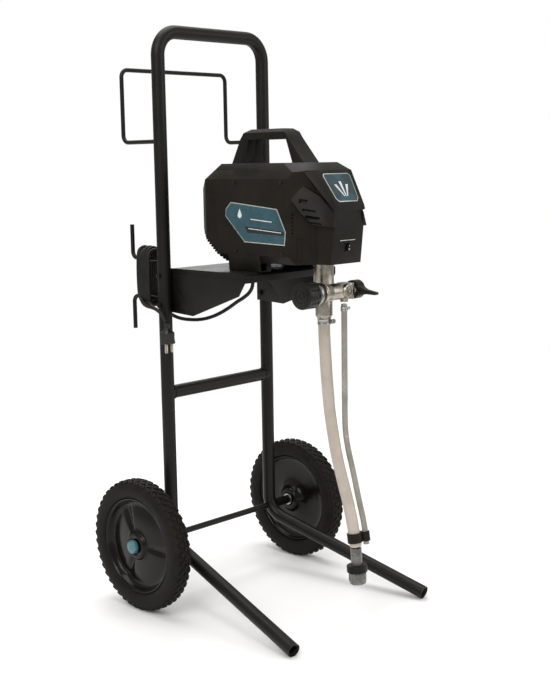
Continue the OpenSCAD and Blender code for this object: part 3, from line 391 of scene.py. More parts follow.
# ---------- Clip and strainer ----------
# A moulded clip ties the drain tube to the hose. Below it the hose ends on the strainer: a rigid grey
# pipe, a black ring with a pull tab, and a clear cup with inlet slots round its foot.
def moulding(name, node, radius, look, slot, body="cart", segments=3, crease=35):
    """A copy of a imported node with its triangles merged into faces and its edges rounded."""
    piece = nodes[node].copy()
    piece.data = nodes[node].data.copy()
    bpy.context.collection.objects.link(piece)
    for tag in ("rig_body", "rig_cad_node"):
        del piece[tag]
    piece.parent = None
    named(piece, name)
    only(piece)
    bpy.ops.object.mode_set(mode="EDIT")
    bpy.ops.mesh.select_all(action="SELECT")
    bpy.ops.mesh.customdata_custom_splitnormals_clear()
    bpy.ops.mesh.remove_doubles(threshold=0.00001)
    bpy.ops.mesh.mark_sharp(clear=True)
    bpy.ops.mesh.dissolve_limited(angle_limit=math.radians(0.8))
    bpy.ops.object.mode_set(mode="OBJECT")
    if radius:
        rounded(piece, radius, segments)
    return fitted(piece, body, look, slot, node, crease=crease)


# Moulded ABS: warm near-black, matt, with the leathery grain of a spark-eroded mould.
black_abs = surface("grained_black_abs", ("#15120c", "#1f1a12"), 45, 1.3, 0.07, (0.42, 0.56), Specular_IOR_Level=0.18)
tie_clip = moulding("tie_clip", "tube_clip", 1.2, black_abs, "black_casing")

# Smoky clear nylon of the cup and pipe.
smoky_nylon = surface("smoky_clear_nylon", ("#6c6a66", "#8d8b86"), 18, 2, 0.05, (0.2, 0.34),
                      Transmission_Weight=0.35, Subsurface_Weight=0.15, Subsurface_Scale=0.003)
strainer_foot = by_shelf(0, -75, -534)
strainer_lean = Vector((0, -math.sin(math.radians(4)), -math.cos(math.radians(4))))
hose_pipe = turned("hose_pipe", [(8, 2), (8, -32), (10.3, -32), (10.3, 2)], strainer_foot, strainer_lean, 40)
rounded(hose_pipe, 0.6, 2)
fitted(hose_pipe, "cart", smoky_nylon, "milky_tube")
pull_ring = turned("pull_ring", [(11, 12), (11, -1), (18, -1), (19, 0), (19, 11), (18, 12)],
                   strainer_foot, strainer_lean, 48)
pull_tab = slab("pull_tab", [strainer_foot + Vector((x * MM, y * MM, 0)) for x, y in (
    (15, -5), (22, -5), (24, -3), (24, 3), (22, 5), (15, 5))], strainer_lean * 9 * MM)
joined([pull_ring, rounded(pull_tab, 0.8, 2)], "pull_ring")
fitted(pull_ring, "cart", black_abs, "black_casing", "strainer")
cup = turned("strainer_cup", [
    (10, 10), (15.8, 10), (15.8, 15), (14.9, 33), (14, 34), (0, 34), (0, 32), (12.8, 31), (13.6, 14), (10, 13)],
    strainer_foot, strainer_lean, 48)
rounded(cup, 0.4, 2)
fitted(cup, "cart", smoky_nylon, "milky_tube")
CUP_RIBS = 12
fins = []
for i in range(CUP_RIBS):
    angle = 2 * math.pi * i / CUP_RIBS
    out = Vector((math.cos(angle), math.sin(angle), 0))
    start = strainer_foot + out * 15.2 * MM + strainer_lean * 14 * MM
    bpy.ops.object.select_all(action="DESELECT")
    bpy.ops.mesh.primitive_cube_add(size=1, location=start + strainer_lean * 8 * MM, rotation=(0, 0, angle))
    rib = named(bpy.context.object, "rib")
    rib.scale = (2.2 * MM, 2 * MM, 15 * MM)
    only(rib)
    bpy.ops.object.transform_apply(location=True, rotation=True, scale=True)
    fins.append(rounded(rib, 0.5, 1))
cup_ribs = joined(fins, "cup_ribs")
fitted(cup_ribs, "cart", smoky_nylon, "milky_tube")

# ---------- Cart frame ----------
# Bent one-inch steel tube and welded wire, all powder coated satin black; the push handle plugs into
# the uprights. The tubes, wire rack and cord hooks keep their imported shape.
# Powder coat: satin black with the soft orange peel of melted powder.
powder_coat = surface("satin_powder_coat", ("#0f0d0a", "#181510"), 80, 2.2, 0.09, (0.36, 0.48),
                      Specular_IOR_Level=0.24)

# ---------- Welds ----------
# Where wire and cross tube meet the uprights they are held by a small bead of weld under the coat.
def weld(name, centre, axis, radius):
    """A lumpy ring of weld round a joint."""
    bpy.ops.object.select_all(action="DESELECT")
    facing = Vector((0, 0, 1)).rotation_difference(Vector(axis)).to_euler()
    bpy.ops.mesh.primitive_torus_add(major_radius=radius, minor_radius=1.7 * MM, major_segments=40, minor_segments=10,
                                     location=centre, rotation=facing)
    bead = named(bpy.context.object, name)
    ripple = bead.modifiers.new("ripple", "DISPLACE")
    lumps = bpy.data.textures.new("weld_lumps", "CLOUDS")
    lumps.noise_scale = 0.004
    ripple.texture = lumps
    ripple.strength = 0.9 * MM
    ripple.texture_coords = "GLOBAL"
    only(bead)
    bpy.ops.object.modifier_apply(modifier=ripple.name)
    return bead


bar_low, bar_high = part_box("crossbar")
rack_low, rack_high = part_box("hose_rack")
hooks_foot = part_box("cord_hooks")[0].z
tube_r = (bar_high.z - bar_low.z) / 2
wire_r = 4 * MM
BEAD_SINK = 0.6 * MM
HOOK_RISES = (0.064, 0.138)
upright_x = rack_high.x - wire_r
back_face = upright_y + tube_r - BEAD_SINK
beads = []
for side in (-1, 1):
    beads.append(weld("bead", (side * (upright_x - tube_r + BEAD_SINK), upright_y, (bar_low.z + bar_high.z) / 2),
                      (1, 0, 0), tube_r))
    beads.append(weld("bead", (side * upright_x, back_face, rack_low.z + wire_r), (0, 1, 0), wire_r))
for rise in HOOK_RISES:
    beads.append(weld("bead", (-upright_x, back_face, hooks_foot + rise), (0, 1, 0), wire_r))
welds = joined(beads, "welds")
fitted(welds, "cart", powder_coat, "powder_black_steel", crease=60)

# ---------- Wheels ----------
# A solid rubber tyre with a staggered block tread, pressed on a glossy moulded hub. The hub is deeply
# dished, with three creased lobes round its boss; a coloured cap is pushed over the axle's end.
# Moulded tyre rubber: matt, greyed where it has rolled, with a fine bloom.
tyre_rubber = surface("moulded_tyre_rubber", ("#13100d", "#1f1b16"), 22, 1.8, 0.16, (0.55, 0.78),
                      Specular_IOR_Level=0.16)
# Glossy injection-moulded polypropylene: near mirror, with faint flow ripples.
gloss_hub = surface("gloss_black_polypropylene", ("#0e0b08", "#15110c"), 60, 14, 0.1, (0.14, 0.24),
                    Specular_IOR_Level=0.2)
teal_cap = surface("teal_abs", ("#3b6a72", "#477a81"), 12, 1.5, 0.03, (0.22, 0.34))
BLOCK_PITCHES = 46
SPOKE_STEPS = 72

for side, name in ((-1, "left"), (1, "right")):
    low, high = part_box(name + "_tyre")
    hub_axis = (low + high) / 2
    radius = (high.z - low.z) / 2 / MM
    half = (high.x - low.x) / 2 / MM
    outwards = (side, 0, 0)
    base = radius - 2.6
    carcass = [(93, half - 7.5), (94, half - 4.6), (97, half - 2.6), (103, half - 1.1), (111, half - 1),
               (117, half - 2.6), (base - 1.6, half - 6.5), (base, half - 12), (base + 0.4, 0)]
    carcass += [(r, -x) for r, x in reversed(carcass[:-1])]
    tyre = turned(name + "_tread_tyre", carcass, hub_axis, outwards, 96)
    block_set = []
    for offset, row, width, length, tip in (
            (0, -4.5, 8.0, 12.6, 0), (0.5, 4.5, 8.0, 12.6, 0), (0.5, -12.7, 6.2, 10.4, -24), (0, 12.7, 6.2, 10.4, 24)):
        turn_by = 2 * math.pi * offset / BLOCK_PITCHES
        drop_in = 0 if tip == 0 else 1.7
        out = Matrix.Rotation(turn_by, 4, "X") @ Vector((0, 0, (radius - 2.2 - drop_in) * MM))
        bpy.ops.object.select_all(action="DESELECT")
        bpy.ops.mesh.primitive_cube_add(size=1)
        block = named(bpy.context.object, "block")
        skew = 45 if tip == 0 else 20
        block.matrix_world = (Matrix.Translation(hub_axis + out + Vector((row * MM, 0, 0)))
                              @ Matrix.Rotation(turn_by, 4, "X") @ Matrix.Rotation(math.radians(tip), 4, "Y")
                              @ Matrix.Rotation(math.radians(skew if row > 0 else -skew), 4, "Z")
                              @ Matrix.Diagonal((width * MM, length * MM * (0.66 if tip == 0 else 1), 4.2 * MM, 1)))
        only(block)
        bpy.ops.object.transform_apply(location=True, rotation=True, scale=True)
        block_set.append(rounded(block, 0.7, 1))
    tread = joined(block_set, "tread")
    bpy.ops.object.mode_set(mode="EDIT")
    bpy.ops.mesh.select_all(action="SELECT")
    bpy.ops.mesh.spin(steps=BLOCK_PITCHES - 1, dupli=True, angle=2 * math.pi * (BLOCK_PITCHES - 1) / BLOCK_PITCHES,
                      center=hub_axis, axis=(1, 0, 0))
    bpy.ops.object.mode_set(mode="OBJECT")
    tyre = joined([tyre, tread], name + "_tread_tyre")
    fitted(tyre, name + "_wheel", tyre_rubber, "tyre_rubber", name + "_tyre", crease=38)

    dish = [(6.2 + 3, -23), (20, -23), (24, -20), (26, -4), (60, -3), (82, -3), (87, -6), (89, -14.5), (93, -14.5),
            (93, 14.8), (91.5, 15.6), (89.5, 15.2), (87, 12), (84, 4), (80, 1.2), (70, 3.6), (56, 6.4), (42, 8.4),
            (31, 9.2), (27.5, 10.4), (26, 14), (24, 16.4), (21, 17), (9, 17)]
    hub = turned(name + "_dished_hub", dish, hub_axis, outwards, SPOKE_STEPS)
    for vertex in hub.data.vertices:
        from_axis = vertex.co - hub_axis
        r = math.hypot(from_axis.y, from_axis.z) / MM
        depth = from_axis.x * side / MM
        away = min(abs((math.degrees(math.atan2(from_axis.z, -from_axis.y)) - lobe + 180) % 360 - 180)
                   for lobe in (0, 120, 240))
        if 29 < r < 81.5 and depth > 0.5:
            groove = {0: 1.0, 5: 0.55, 10: 0.12}.get(round(away), 0)
            vertex.co.x -= side * groove * (5.4 if r < 60 else 3.4) * MM
    only(hub)
    bpy.ops.object.mode_set(mode="EDIT")
    bpy.ops.mesh.select_all(action="SELECT")
    bpy.ops.mesh.normals_make_consistent(inside=False)
    bpy.ops.object.mode_set(mode="OBJECT")
    skin = hub.modifiers.new("smooth_dish", "SUBSURF")
    skin.levels = skin.render_levels = 1
    bpy.ops.object.modifier_apply(modifier=skin.name)
    fitted(hub, name + "_wheel", gloss_hub, "gloss_black_plastic", name + "_hub", crease=50)

    cap_start = hub_axis + Vector((side * (17 + 0.3 + 1.5) * MM, 0, 0))
    cap = turned(name + "_axle_cap", [
        (0, 3.6), (6.1, 3.6), (6.1, 0), (13, 0), (13, 4.4), (12.4, 6.6), (10.8, 8.2), (8, 8.8), (0, 9)],
        cap_start, outwards, 48)
    fitted(cap, "cart", teal_cap, "teal_plastic", *(["axle_caps"] if side == 1 else []), crease=50)

# ---------- Shelf bracket ----------
# Folded sheet steel, powder coated: a flat shelf with a turned-down front lip between two gussets,
# held to the uprights by four black hex bolts. The foot rails stand on it.
moulding("shelf_plate", "shelf", 0.7, powder_coat, "powder_black_steel", segments=2)
moulding("side_gussets", "gussets", 0.7, powder_coat, "powder_black_steel", segments=2)
# Bright zinc plate: grey-blue, softly mirrored, with fine draw marks.
zinc_plate = surface("bright_zinc_plate", ("#8f908c", "#b9bab4"), 9, 1.2, 0.03, (0.28, 0.42), Metallic=1.0)
moulding("hex_bolts", "bracket_bolts", 0.5, powder_coat, "powder_black_steel", segments=2)
rails_low, rails_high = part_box("foot_rails")
moulding("foot_rail_blocks", "foot_rails", 1.6, black_abs, "soft_black_rubber")

# ---------- Casing ----------
# Two ABS half shells meet down the middle of the handle; a nose cover and a vented back cover close
# the ends. All four are bolted over the drive and show their parting lines as fine grooves.
left_shell = moulding("left_shell", "left_casing", 2.2, black_abs, "black_casing", segments=3)
right_shell = moulding("right_shell", "right_casing", 2.2, black_abs, "black_casing", segments=3)
moulding("nose_shell", "nose_cover", 1.8, black_abs, "black_casing", segments=3)
moulding("back_shell", "rear_cover", 0.5, black_abs, "black_casing", segments=2)


def cut(piece, cutter):
    """Takes a cutter's shape out of a piece and drops the cutter."""
    only(piece)
    take = piece.modifiers.new("cut", "BOOLEAN")
    take.operation = "DIFFERENCE"
    take.solver = "EXACT"
    take.object = cutter
    bpy.ops.object.modifier_apply(modifier=take.name)
    bpy.data.objects.remove(cutter)


def on_side(side, *points):
    """Points given for the left flank, over the shelf, mirrored to the right one when side is 1."""
    return [by_shelf(-side * x, y, z) for x, y, z in points]


def patch(name, centre, along_way, up_way, length, height, push):
    """A straight-sided block: a rectangle round centre, extruded by push."""
    return slab(name, [centre + along_way * a * length / 2 * MM + up_way * b * height / 2 * MM
                       for a, b in ((-1, -1), (1, -1), (1, 1), (-1, 1))], push)


for side, shell, name in ((-1, left_shell, "left"), (1, right_shell, "right")):
    facet_out = Vector((side * 0.622, -0.783, 0))
    facet_along = Vector((side * 0.783, 0.622, 0))
    straight_up = Vector((0, 0, 1))
    well = patch("well", on_side(side, (-69.5, -6.3, 42))[0] + facet_out * 2 * MM, facet_along, straight_up, 11, 42,
                 facet_out * -4.2 * MM)
    cut(shell, rounded(well, 1.2, 2))

    # Backing panel behind the louvres: it closes the upper part of the cheek.
    panel = patch(name + "_cheek_panel", on_side(side, (-65.5, -9.5, 90))[0] + facet_out * 0.25 * MM,
                  facet_along, straight_up, 32, 40, facet_out * -3.2 * MM)
    fitted(rounded(panel, 0.2, 1), "cart", black_abs, "black_casing")

    # Chamfer bar between the sloping badge face and the nose's flank.
    edges = on_side(side, (-45.6, -27, 181), (-37.6, -64.2, 119.8), (-41.5, -63.6, 111), (-62.5, -13.2, 177))
    chamfer = slab(name + "_chamfer", edges, Vector((-side * 5, 4, -3)) * MM)
    fitted(rounded(chamfer, 0.8, 2), "cart", black_abs, "black_casing")

    # Louvre wedge: its face leans back and looks up and outwards; four slots open in it.
    face = on_side(side, (-81.6, 3.3, 131.7), (-63.5, -11.1, 153.7), (-48.6, -37.2, 136.2), (-38.5, -62.6, 105.2),
                   (-45.1, -63.6, 81.5), (-65.4, -35.4, 86.9), (-75.4, -14.3, 107.6))
    sink = [(0.622, 0.783, 1.5), (0.622, 0.783, 1.5), (0.98, 0.2, 6.5), (0.98, 0.2, 1.5), (0.98, 0.2, 8.2),
            (0.622, 0.783, 21.5), (0.622, 0.783, 11.4)]
    wedge = slab(name + "_louvres", face, Vector((0, 0.001, 0)))
    for vertex, (x, y, depth) in zip(wedge.data.vertices[7:], sink):
        near = min(range(7), key=lambda i: (face[i] + Vector((0, 0.001, 0)) - vertex.co).length)
        x, y, depth = sink[near]
        vertex.co = face[near] + Vector((-side * x, y, 0)) * depth * MM
    rounded(wedge, 0.9, 2)
    look_out = Vector((side * 0.766, -0.597, 0.239))
    slot_way = Vector((-side * 0.575, -0.802, -0.17)).normalized()
    across_way = look_out.cross(slot_way)
    for centre, length, gap in (((-68.5, -15.5, 127.2), 15, 7.5), ((-65.5, -26.4, 111), 24, 4.6),
                                ((-63.8, -33, 99.5), 25, 4.6), ((-61.8, -39, 88.5), 19, 4.6)):
        opening = patch("slot", on_side(side, centre)[0] + look_out * 2 * MM, slot_way, across_way, length, gap,
                        look_out * -8 * MM)
        cut(wedge, opening)
    fitted(wedge, "cart", black_abs, "black_casing")

# Moulded feet: each rail is carried up over the belly's edge as a block flush with the flank.
for side, name in ((-1, "left"), (1, "right")):
    foot = slab(name + "_foot", [Vector((side * x * MM, rails_low.y, shelf_top + z * MM)) for x, z in (
        (66, 0.3), (83.6, 0.3), (84.9, 26), (84.9, 31), (80, 31), (66, 20))], (0, rails_high.y - rails_low.y, 0))
    fitted(rounded(foot, 1.6, 2), "cart", black_abs, "black_casing")

# Screws of the halves: pan heads blackened with oxide.
ground_black = surface("black_oxide_steel", ("#1c1b1a", "#2a2826"), 6, 0.8, 0.02, (0.3, 0.42), Metallic=0.6)
moulding("shell_screws", "casing_screws", 0.4, ground_black, "zinc_steel", segments=2)

# ---------- Badges and switch ----------
# Printed film plates with a bright border. They carry a plain colour pattern and no lettering; the
# rocker switch has the usual ring and bar for off and on.
silver_ink = surface("silver_printed_border", ("#b9b7b0", "#cfcdc6"), 8, 1.2, 0.02, (0.3, 0.4), Metallic=0.5)
teal_ink = surface("teal_printed_film", ("#25464f", "#2f545e"), 30, 2, 0.02, (0.22, 0.32))
slate_ink = surface("slate_printed_film", ("#26383d", "#2f454a"), 30, 2, 0.02, (0.22, 0.32))
dark_ink = surface("dark_printed_film", ("#1a1a1a", "#232221"), 30, 2, 0.02, (0.22, 0.32))
white_ink = surface("white_printed_film", ("#cfd0cd", "#e2e3e0"), 20, 2, 0.01, (0.3, 0.4))


def inset_corners(corners, margin):
    """A counter-clockwise outline moved inwards by margin."""
    out = []
    count = len(corners)
    for i, corner in enumerate(corners):
        back = (Vector(corner) - Vector(corners[i - 1])).normalized()
        on = (Vector(corners[(i + 1) % count]) - Vector(corner)).normalized()
        lean_in = Vector((-back.y, back.x)) + Vector((-on.y, on.x))
        out.append(Vector(corner) + lean_in * (2 * margin / lean_in.dot(lean_in)))
    return out


def plate(name, corners, origin, right, up, low, high, look, *stands_for, radius=0.0):
    """A film plate in a plane: corners in mm along right and up, lying from low to high above it."""
    out = right.cross(up)
    outline_at_foot = [origin + right * x * MM + up * y * MM + out * low * MM for x, y in corners]
    piece = slab(name, outline_at_foot, out * (high - low) * MM)
    if radius:
        rounded(piece, radius, 2)
    return fitted(piece, "cart", look, "badge_film", *stands_for)


# A drop with a round foot, drawn about its middle.
DROP_R = 5.2
drop = [(0, 9.5)] + [(DROP_R * math.cos(math.radians(a)), -2.5 + DROP_R * math.sin(math.radians(a)))
                     for a in range(150, 391, 20)]

flank = abs(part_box("left_casing")[0].x)
side_outline = [(14, 50), (11, 74), (32, 114), (149, 125), (163, 112), (164, 99), (115, 53)]
for side, name in ((-1, "left"), (1, "right")):
    origin = Vector((side * flank, pump_axis.y, shelf_top))
    right, up = Vector((0, side, 0)), Vector((0, 0, 1))
    ring = [(side * y, z) for y, z in side_outline][::-side]
    stands = ["side_badges"] if side == 1 else []
    plate(name + "_side_badge", ring, origin, right, up, 0, 0.8, silver_ink, *stands, radius=0.25)
    plate(name + "_side_field", inset_corners(ring, 1.6), origin, right, up, 0.4, 0.95, teal_ink)
    plate(name + "_side_band", [(side * y, z) for y, z in ((13.9, 67), (15.6, 74.5), (114, 82), (106.5, 70.5))],
          origin, right, up, 0.5, 1.05, dark_ink)
    plate(name + "_side_line", [(side * y, z) for y, z in ((22, 71.6), (22.2, 72.9), (104, 78.7), (103.4, 77.4))],
          origin, right, up, 0.6, 1.12, white_ink)
    plate(name + "_side_rule", [(side * y, z) for y, z in ((45, 90), (45, 91.6), (98, 95.6), (98, 94))],
          origin, right, up, 0.5, 1.05, white_ink)
    plate(name + "_side_drop", [(side * (126 + x), 104 + y) for x, y in drop], origin, right, up, 0.5, 1.05, white_ink)

slope_up = Vector((0, 38, 61)).normalized()
slope_right = Vector((1, 0, 0))
slope_origin = by_shelf(0, -26, 180)
nose_outline = [(-24, -65), (24, -65), (30, -58), (36, -12), (32, -7), (-32, -7), (-36, -12), (-30, -58)]
plate("nose_badge_border", nose_outline, slope_origin, slope_right, slope_up, 0, 0.9, silver_ink, "nose_badge",
      radius=0.3)
plate("nose_badge_field", inset_corners(nose_outline, 1.8), slope_origin, slope_right, slope_up, 0.5, 1.1, slate_ink)
plate("nose_badge_foot", [(-22.6, -62.9), (22.6, -62.9), (17, -49), (-5, -44)],
      slope_origin, slope_right, slope_up, 0.6, 1.15, teal_ink)
plate("nose_badge_head", [(14, -9.3), (0, -22), (-12, -9.3)],
      slope_origin, slope_right, slope_up, 0.6, 1.15, teal_ink)
for i, (reach_out, height) in enumerate(((-15, 24), (0, 30), (15, 24))):
    foot = (reach_out * 0.25, -54)
    tip = (reach_out, -54 + height)
    ray = [(foot[0] - 1, foot[1]), (foot[0] + 1, foot[1]), (tip[0] + 3.2, tip[1]), (tip[0] - 3.2, tip[1])]
    plate("nose_ray_" + str(i + 1), ray, slope_origin, slope_right, slope_up, 0.7, 1.2, white_ink)

# The rocker sits in the nose's front opening, with a fine bezel, its two marks and a rule above it.
moulding("power_rocker", "power_toggle", 0.5, gloss_hub, "gloss_black_plastic", body="toggle", segments=2)
toggle_low, toggle_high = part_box("power_toggle")
toggle_z = (toggle_low.z + toggle_high.z) / 2 - shelf_top
front_up = Vector((0, -9, 66)).normalized()
front_origin = Vector((0, pump_axis.y - 0.053 - 9 / 66 * (toggle_z - 0.016), shelf_top + toggle_z))
front_out = Vector((1, 0, 0)).cross(front_up)
bezel_foot = front_origin - front_out * 0.5 * MM
bezel = slab("switch_bezel", [bezel_foot + Vector((x * MM, 0, 0)) + front_up * y * MM for x, y in (
    (-5.6, -9), (5.6, -9), (6.6, -8), (6.6, 8), (5.6, 9), (-5.6, 9), (-6.6, 8), (-6.6, -8))], front_out * 1.5 * MM)
cut(bezel, slab("mouth", [front_origin + Vector((x * MM, 0, 0)) + front_up * y * MM - front_out * 3 * MM for x, y in (
    (-4.6, -6.9), (4.6, -6.9), (4.6, 6.9), (-4.6, 6.9))], front_out * 8 * MM))
fitted(rounded(bezel, 0.4, 2), "cart", gloss_hub, "black_casing")
plate("switch_rule", [(-21, 11.5), (19, 11.5), (19, 12.5), (-21, 12.5)],
      front_origin, Vector((1, 0, 0)), front_up, 0, 0.25, white_ink)

rocker_up = Vector((0, -math.sin(math.radians(8)), math.cos(math.radians(8))))
rocker_out = Vector((0, -math.cos(math.radians(8)), -math.sin(math.radians(8))))
rocker_face = Vector((0, pump_axis.y - 0.056, shelf_top + toggle_z)) + rocker_out * 6 * MM
bpy.ops.object.select_all(action="DESELECT")
bpy.ops.mesh.primitive_torus_add(major_radius=1.4 * MM, minor_radius=0.3 * MM, major_segments=28, minor_segments=8,
                                 location=rocker_face - rocker_up * 2.8 * MM,
                                 rotation=Vector((0, 0, 1)).rotation_difference(rocker_out).to_euler())
off_mark = named(bpy.context.object, "off_mark")
fitted(off_mark, "toggle", white_ink, "badge_film")
mark_foot = rocker_face - rocker_out * 0.2 * MM
on_mark = slab("on_mark", [mark_foot + Vector((x * MM, 0, 0)) + rocker_up * y * MM for x, y in (
    (-0.3, 1.4), (0.3, 1.4), (0.3, 4.2), (-0.3, 4.2))], rocker_out * 0.4 * MM)
fitted(on_mark, "toggle", white_ink, "badge_film")

# ---------- Pump ----------
# Nickel-plated brass and steel under the belly: the cylinder with its inlet valve, the control barrel
# across its front, the hose thread behind it, the prime valve on the right and the barb for the drain.
# Satin nickel: warm silver, softened by handling, with faint turning marks.
satin_nickel = surface("satin_nickel_plate", ("#8f897d", "#b7b0a2"), 14, 1.3, 0.03, (0.2, 0.36), Metallic=1.0)
moulding("pump_body", "pump_cylinder", 0.9, satin_nickel, "nickel_casting", crease=40)
moulding("suction_valve", "inlet_valve", 0.8, satin_nickel, "nickel_casting", crease=40)
moulding("prime_valve_body", "prime_valve", 1.0, satin_nickel, "nickel_casting", crease=40)

barrel_axis = by_shelf(0, -31, -35)
outlet_low, outlet_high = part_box("outlet_fitting")
outlet_foot = Vector((0, outlet_low.y, barrel_axis.z))
HEX_R = 9.2
hex_nut = slab("outlet_hex", [
    outlet_foot + Vector((HEX_R * math.cos(a * math.pi / 3), 0.5, HEX_R * math.sin(a * math.pi / 3))) * MM
    for a in range(6)], (0, 8.6 * MM, 0))
rounded(hex_nut, 0.6, 2)
crests = [(2.5, 8), (6.4, 8), (6.4, 9)]
for i in range(8):
    crests += [(6.6, 10 + i * 1.6), (5.8, 10.8 + i * 1.6)]
reach_back = (outlet_high.y - outlet_low.y) / MM
crests += [(6.0, reach_back - 0.6), (5.4, reach_back), (2.5, reach_back)]
outlet_thread = turned("outlet_thread", crests, outlet_foot, (0, 1, 0), 48)
outlet = joined([hex_nut, outlet_thread], "hose_outlet")
fitted(outlet, "cart", satin_nickel, "nickel_casting", "outlet_fitting", crease=30)

control_rings = turned("control_rings", [
    (0, -23), (16, -23), (16, -36), (16.6, -37), (18, -37), (18, -38.4), (17.2, -39), (17.2, -40.2), (18, -40.8),
    (18, -45.7), (4.9, -45.7), (4.9, -78), (0, -78)], barrel_axis, (1, 0, 0), 64)
rounded(control_rings, 0.4, 2, 50)
fitted(control_rings, "cart", satin_nickel, "nickel_casting", "control_barrel", crease=40)

# Glass-filled nylon of the knob and lever: black, half matt, softly pitted.
knob_nylon = surface("filled_black_nylon", ("#12100d", "#1b1814"), 20, 1.1, 0.06, (0.32, 0.44), Specular_IOR_Level=0.26)
knob_low, knob_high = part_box("pressure_knob")
moulding("fluted_knob", "pressure_knob", 1.6, knob_nylon, "gloss_black_plastic", body="knob", crease=40)
knob_face = Vector((knob_low.x, barrel_axis.y, barrel_axis.z))
end_rings = turned("knob_end_rings", [
    (0, -0.2), (4.5, -0.2), (4.5, 0.5), (6, 0.9), (7.5, 0.5), (7.5, -0.2), (13, -0.2), (13, 0.5), (14.2, 0.9),
    (15.4, 0.5), (15.4, -0.2), (15.4, -1), (0, -1)], knob_face, (-1, 0, 0), 64)
fitted(end_rings, "knob", knob_nylon, "gloss_black_plastic", crease=50)
collar = Vector((knob_high.x, barrel_axis.y, barrel_axis.z))
knob_band = turned("knob_band", [(19, -19.6), (20.6, -19.6), (21, -19), (21, -15), (20.6, -14.4), (19, -14.4)],
                   collar, (1, 0, 0), 64)
fitted(knob_band, "knob", teal_cap, "teal_plastic", crease=40)
knob_ring = turned("knob_ring", [(19, -13.4), (20.2, -13.4), (20.5, -12.8), (20.5, -8), (20.1, -7.4), (19, -7.4)],
                   collar, (1, 0, 0), 64)
fitted(knob_ring, "knob", satin_nickel, "nickel_casting", crease=40)

valve_plug = turned("valve_plug", [
    (0, 3.2), (2.6, 3.2), (3.2, 4.2), (7.6, 4.2), (8.4, 3.2), (9.4, 3.2), (10, 4), (11.6, 3.6), (12.4, 2.4),
    (12.4, -5), (0, -5)],
    by_shelf(14, -31 - 13.5, -34), (0, -1, 0), 48)
fitted(valve_plug, "cart", satin_nickel, "nickel_casting", crease=34)
moulding("prime_handle", "prime_lever", 1.8, knob_nylon, "gloss_black_plastic", body="lever", crease=40)
valve_nut = turned("valve_nut", [(12, 0), (13.4, 0.4), (13.4, 2.6), (12, 3)], by_shelf(36, -31, -35), (1, 0, 0), 6)
fitted(rounded(valve_nut, 0.3, 1), "cart", satin_nickel, "nickel_casting", crease=30)
barb_axis = by_shelf(20, -31, 0)
barb = turned("hose_barb", [
    (2, -59), (5, -59), (5.6, -60.4), (5.6, -63), (4, -63.6), (3.8, -66), (3.7, -68), (3.8, -73), (2, -73)],
    barb_axis, (0, 0, 1), 40)
fitted(barb, "cart", satin_nickel, "nickel_casting", "drain_barb", crease=34)

# ---------- Hose clamps ----------
# Stainless worm-drive bands: each has a slotted tail, a pressed housing and a slotted screw across it.
# Rolled stainless strip: bright, cool and finely scratched along the roll.
rolled_stainless = surface("rolled_stainless_strip", ("#9b9a96", "#c0bfba"), 7, 0.9, 0.02, (0.22, 0.36),
                           Metallic=1.0)
clamp_parts = []
for centre, radius_mm, low_z, high_z, place, screw_r in (
        (by_shelf(0, 0, 0), 11.05, -97, -86, (8.5, -12.4), 4.2), (by_shelf(20, -31, 0), 5.55, -72, -64, (9, 0), 2.6)):
    mid = (low_z + high_z) / 2
    band = turned("band", [
        (radius_mm, low_z + 0.4), (radius_mm + 1.1, low_z + 0.4), (radius_mm + 1.3, low_z + 1),
        (radius_mm + 0.9, low_z + 1.8), (radius_mm + 0.9, high_z - 1.8), (radius_mm + 1.3, high_z - 1),
        (radius_mm + 1.1, high_z - 0.4), (radius_mm, high_z - 0.4)], centre, (0, 0, 1), 48)
    hold = centre + Vector((place[0], place[1], mid)) * MM
    screw = turned("screw", [
        (0, -5.6), (screw_r - 1, -5.6), (screw_r, -5), (screw_r, -2.6), (screw_r - 1.4, -2.2), (screw_r - 1.4, 5),
        (0, 5.6)], hold, (-1, 0, 0), 24)
    saddle_foot = hold + Vector((0, 0, -screw_r + 0.6)) * MM + Vector((0, screw_r * 0.2, 0)) * MM
    saddle = patch("saddle", saddle_foot, Vector((1, 0, 0)), Vector((0, 1, 0)),
                   7.5, screw_r * 2 + 0.8, (0, 0, (2 * screw_r - 1.2) * MM))
    rounded(saddle, 0.7, 2)
    slotted = patch("drive_slot", hold + Vector((4.4, 0, 0)) * MM, Vector((0, 1, 0)), Vector((0, 0, 1)),
                    screw_r * 2.4, 0.9, (3 * MM, 0, 0))
    cut(screw, slotted)
    clamp_parts += [band, screw, saddle]
clamps = joined(clamp_parts, "worm_clamps")
fitted(clamps, "cart", rolled_stainless, "zinc_steel", "hose_clamps", crease=34)

# ---------- Tubes and wire ----------
# The powder-coated tubes, wire and axle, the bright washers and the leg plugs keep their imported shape.
for node, name in (
        ("left_upright", "left_leg_tube"), ("right_upright", "right_leg_tube"), ("push_handle", "handle_tube"),
        ("crossbar", "cross_tube"), ("axle_spacers", "spacer_tubes"), ("hose_rack", "rack_wire"),
        ("cord_hooks", "hook_rods"), ("axle", "axle_rod")):
    moulding(name, node, 0, powder_coat, "powder_black_steel", crease=40)
moulding("thrust_washers", "axle_washers", 0.25, zinc_plate, "zinc_steel", segments=1, crease=40)
moulding("foot_caps", "leg_plugs", 0.9, knob_nylon, "soft_black_rubber", segments=2, crease=40)

# ---------- Inner drive ----------
# Behind the casing: cast aluminium housing and bell, ground steel gears, crank and piston, ball
# bearings, wound armature and nylon bushes and seals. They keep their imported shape.
# Cast aluminium: light grey, softly pitted by the mould.
cast_grey = surface("die_cast_aluminium", ("#8d8e8e", "#a9aaaa"), 16, 1.6, 0.1, (0.42, 0.58), Metallic=1.0)
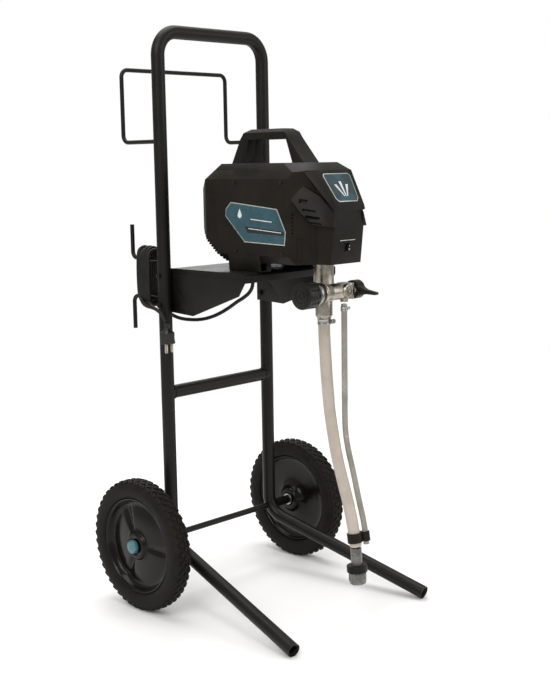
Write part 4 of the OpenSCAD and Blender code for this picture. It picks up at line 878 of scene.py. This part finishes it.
# Ground and oiled steel: darker and smoother.
ground_grey = surface("ground_steel", ("#83858a", "#a4a6aa"), 10, 0.8, 0.015, (0.16, 0.28), Metallic=1.0)
# Unfilled nylon: ivory, waxy.
ivory_nylon = surface("natural_nylon", ("#c9c2b0", "#dad4c4"), 14, 1.2, 0.04, (0.36, 0.5),
                      Subsurface_Weight=0.2, Subsurface_Scale=0.002)
# Enamelled copper wire between dark laminations.
wound_copper = surface("enamelled_copper", ("#6b3a1e", "#a5623a"), 3, 0.6, 0.25, (0.24, 0.4), Metallic=0.85)
for look, inner in (
        (cast_grey, ("drive_housing", "motor_end_bell", "connecting_rod")),
        (ground_grey, ("bearings", "pinion", "reduction_gear", "crank_shaft", "piston_rod", "inlet_ball")),
        (knob_nylon, ("left_bushes", "right_bushes")), (ivory_nylon, ("pump_seals",)),
        (wound_copper, ("armature",)), (black_abs, ("motor_fan",)), (zinc_plate, ("motor_can", "handle_spigots"))):
    for node in inner:
        nodes[node].data.materials.clear()
        nodes[node].data.materials.append(look)

# ---------- Floor and light ----------
# A pale plain disc of floor under soft, broad lights.
floor_paint = surface("pale_floor", ("#fbfaf9", "#fdfcfb"), 400, 30, 0.02, (0.85, 0.95))
FLOOR_R = 1.9
bpy.ops.object.select_all(action="DESELECT")
bpy.ops.mesh.primitive_circle_add(vertices=96, radius=FLOOR_R, fill_type="NGON", location=(0, 0, 0))
floor = named(bpy.context.object, "floor")
only(floor)
bpy.ops.object.transform_apply(location=True, rotation=True, scale=True)
floor.data.materials.append(floor_paint)


def softbox(name, place, aim, size, power):
    """A square area light looking at a point."""
    data = bpy.data.lights.new(name, "AREA")
    data.size = size
    data.energy = power
    lamp = bpy.data.objects.new(name, data)
    bpy.context.collection.objects.link(lamp)
    lamp.location = place
    lamp.rotation_euler = (Vector(aim) - Vector(place)).to_track_quat("-Z", "Y").to_euler()
    return lamp


softbox("key", (-2.6, -1.0, 2.6), (0, 0, 0.6), 1.8, 52)
softbox("fill", (1.6, -2.8, 1.6), (0, 0, 0.6), 2.0, 22)
softbox("top", (0.2, 0.4, 3.2), (0, 0, 0.6), 2.4, 60)
softbox("back", (1.5, 2.6, 2.1), (0, 0, 0.6), 2.0, 22)
# The backdrop is white where it is seen, and lights the object more gently.
world = bpy.data.worlds.new("studio")
bpy.context.scene.world = world
world.use_nodes = True
sky = world.node_tree
seen = add(sky, "LightPath").outputs["Is Camera Ray"]
glow = add(sky, "MapRange", {"To Min": 0.5, "To Max": 1.0}, {"Value": seen})
sky.nodes["Background"].inputs["Color"].default_value = tint("#ffffff")
sky.links.new(glow.outputs["Result"], sky.nodes["Background"].inputs["Strength"])
bpy.context.scene.view_settings.view_transform = "Standard"
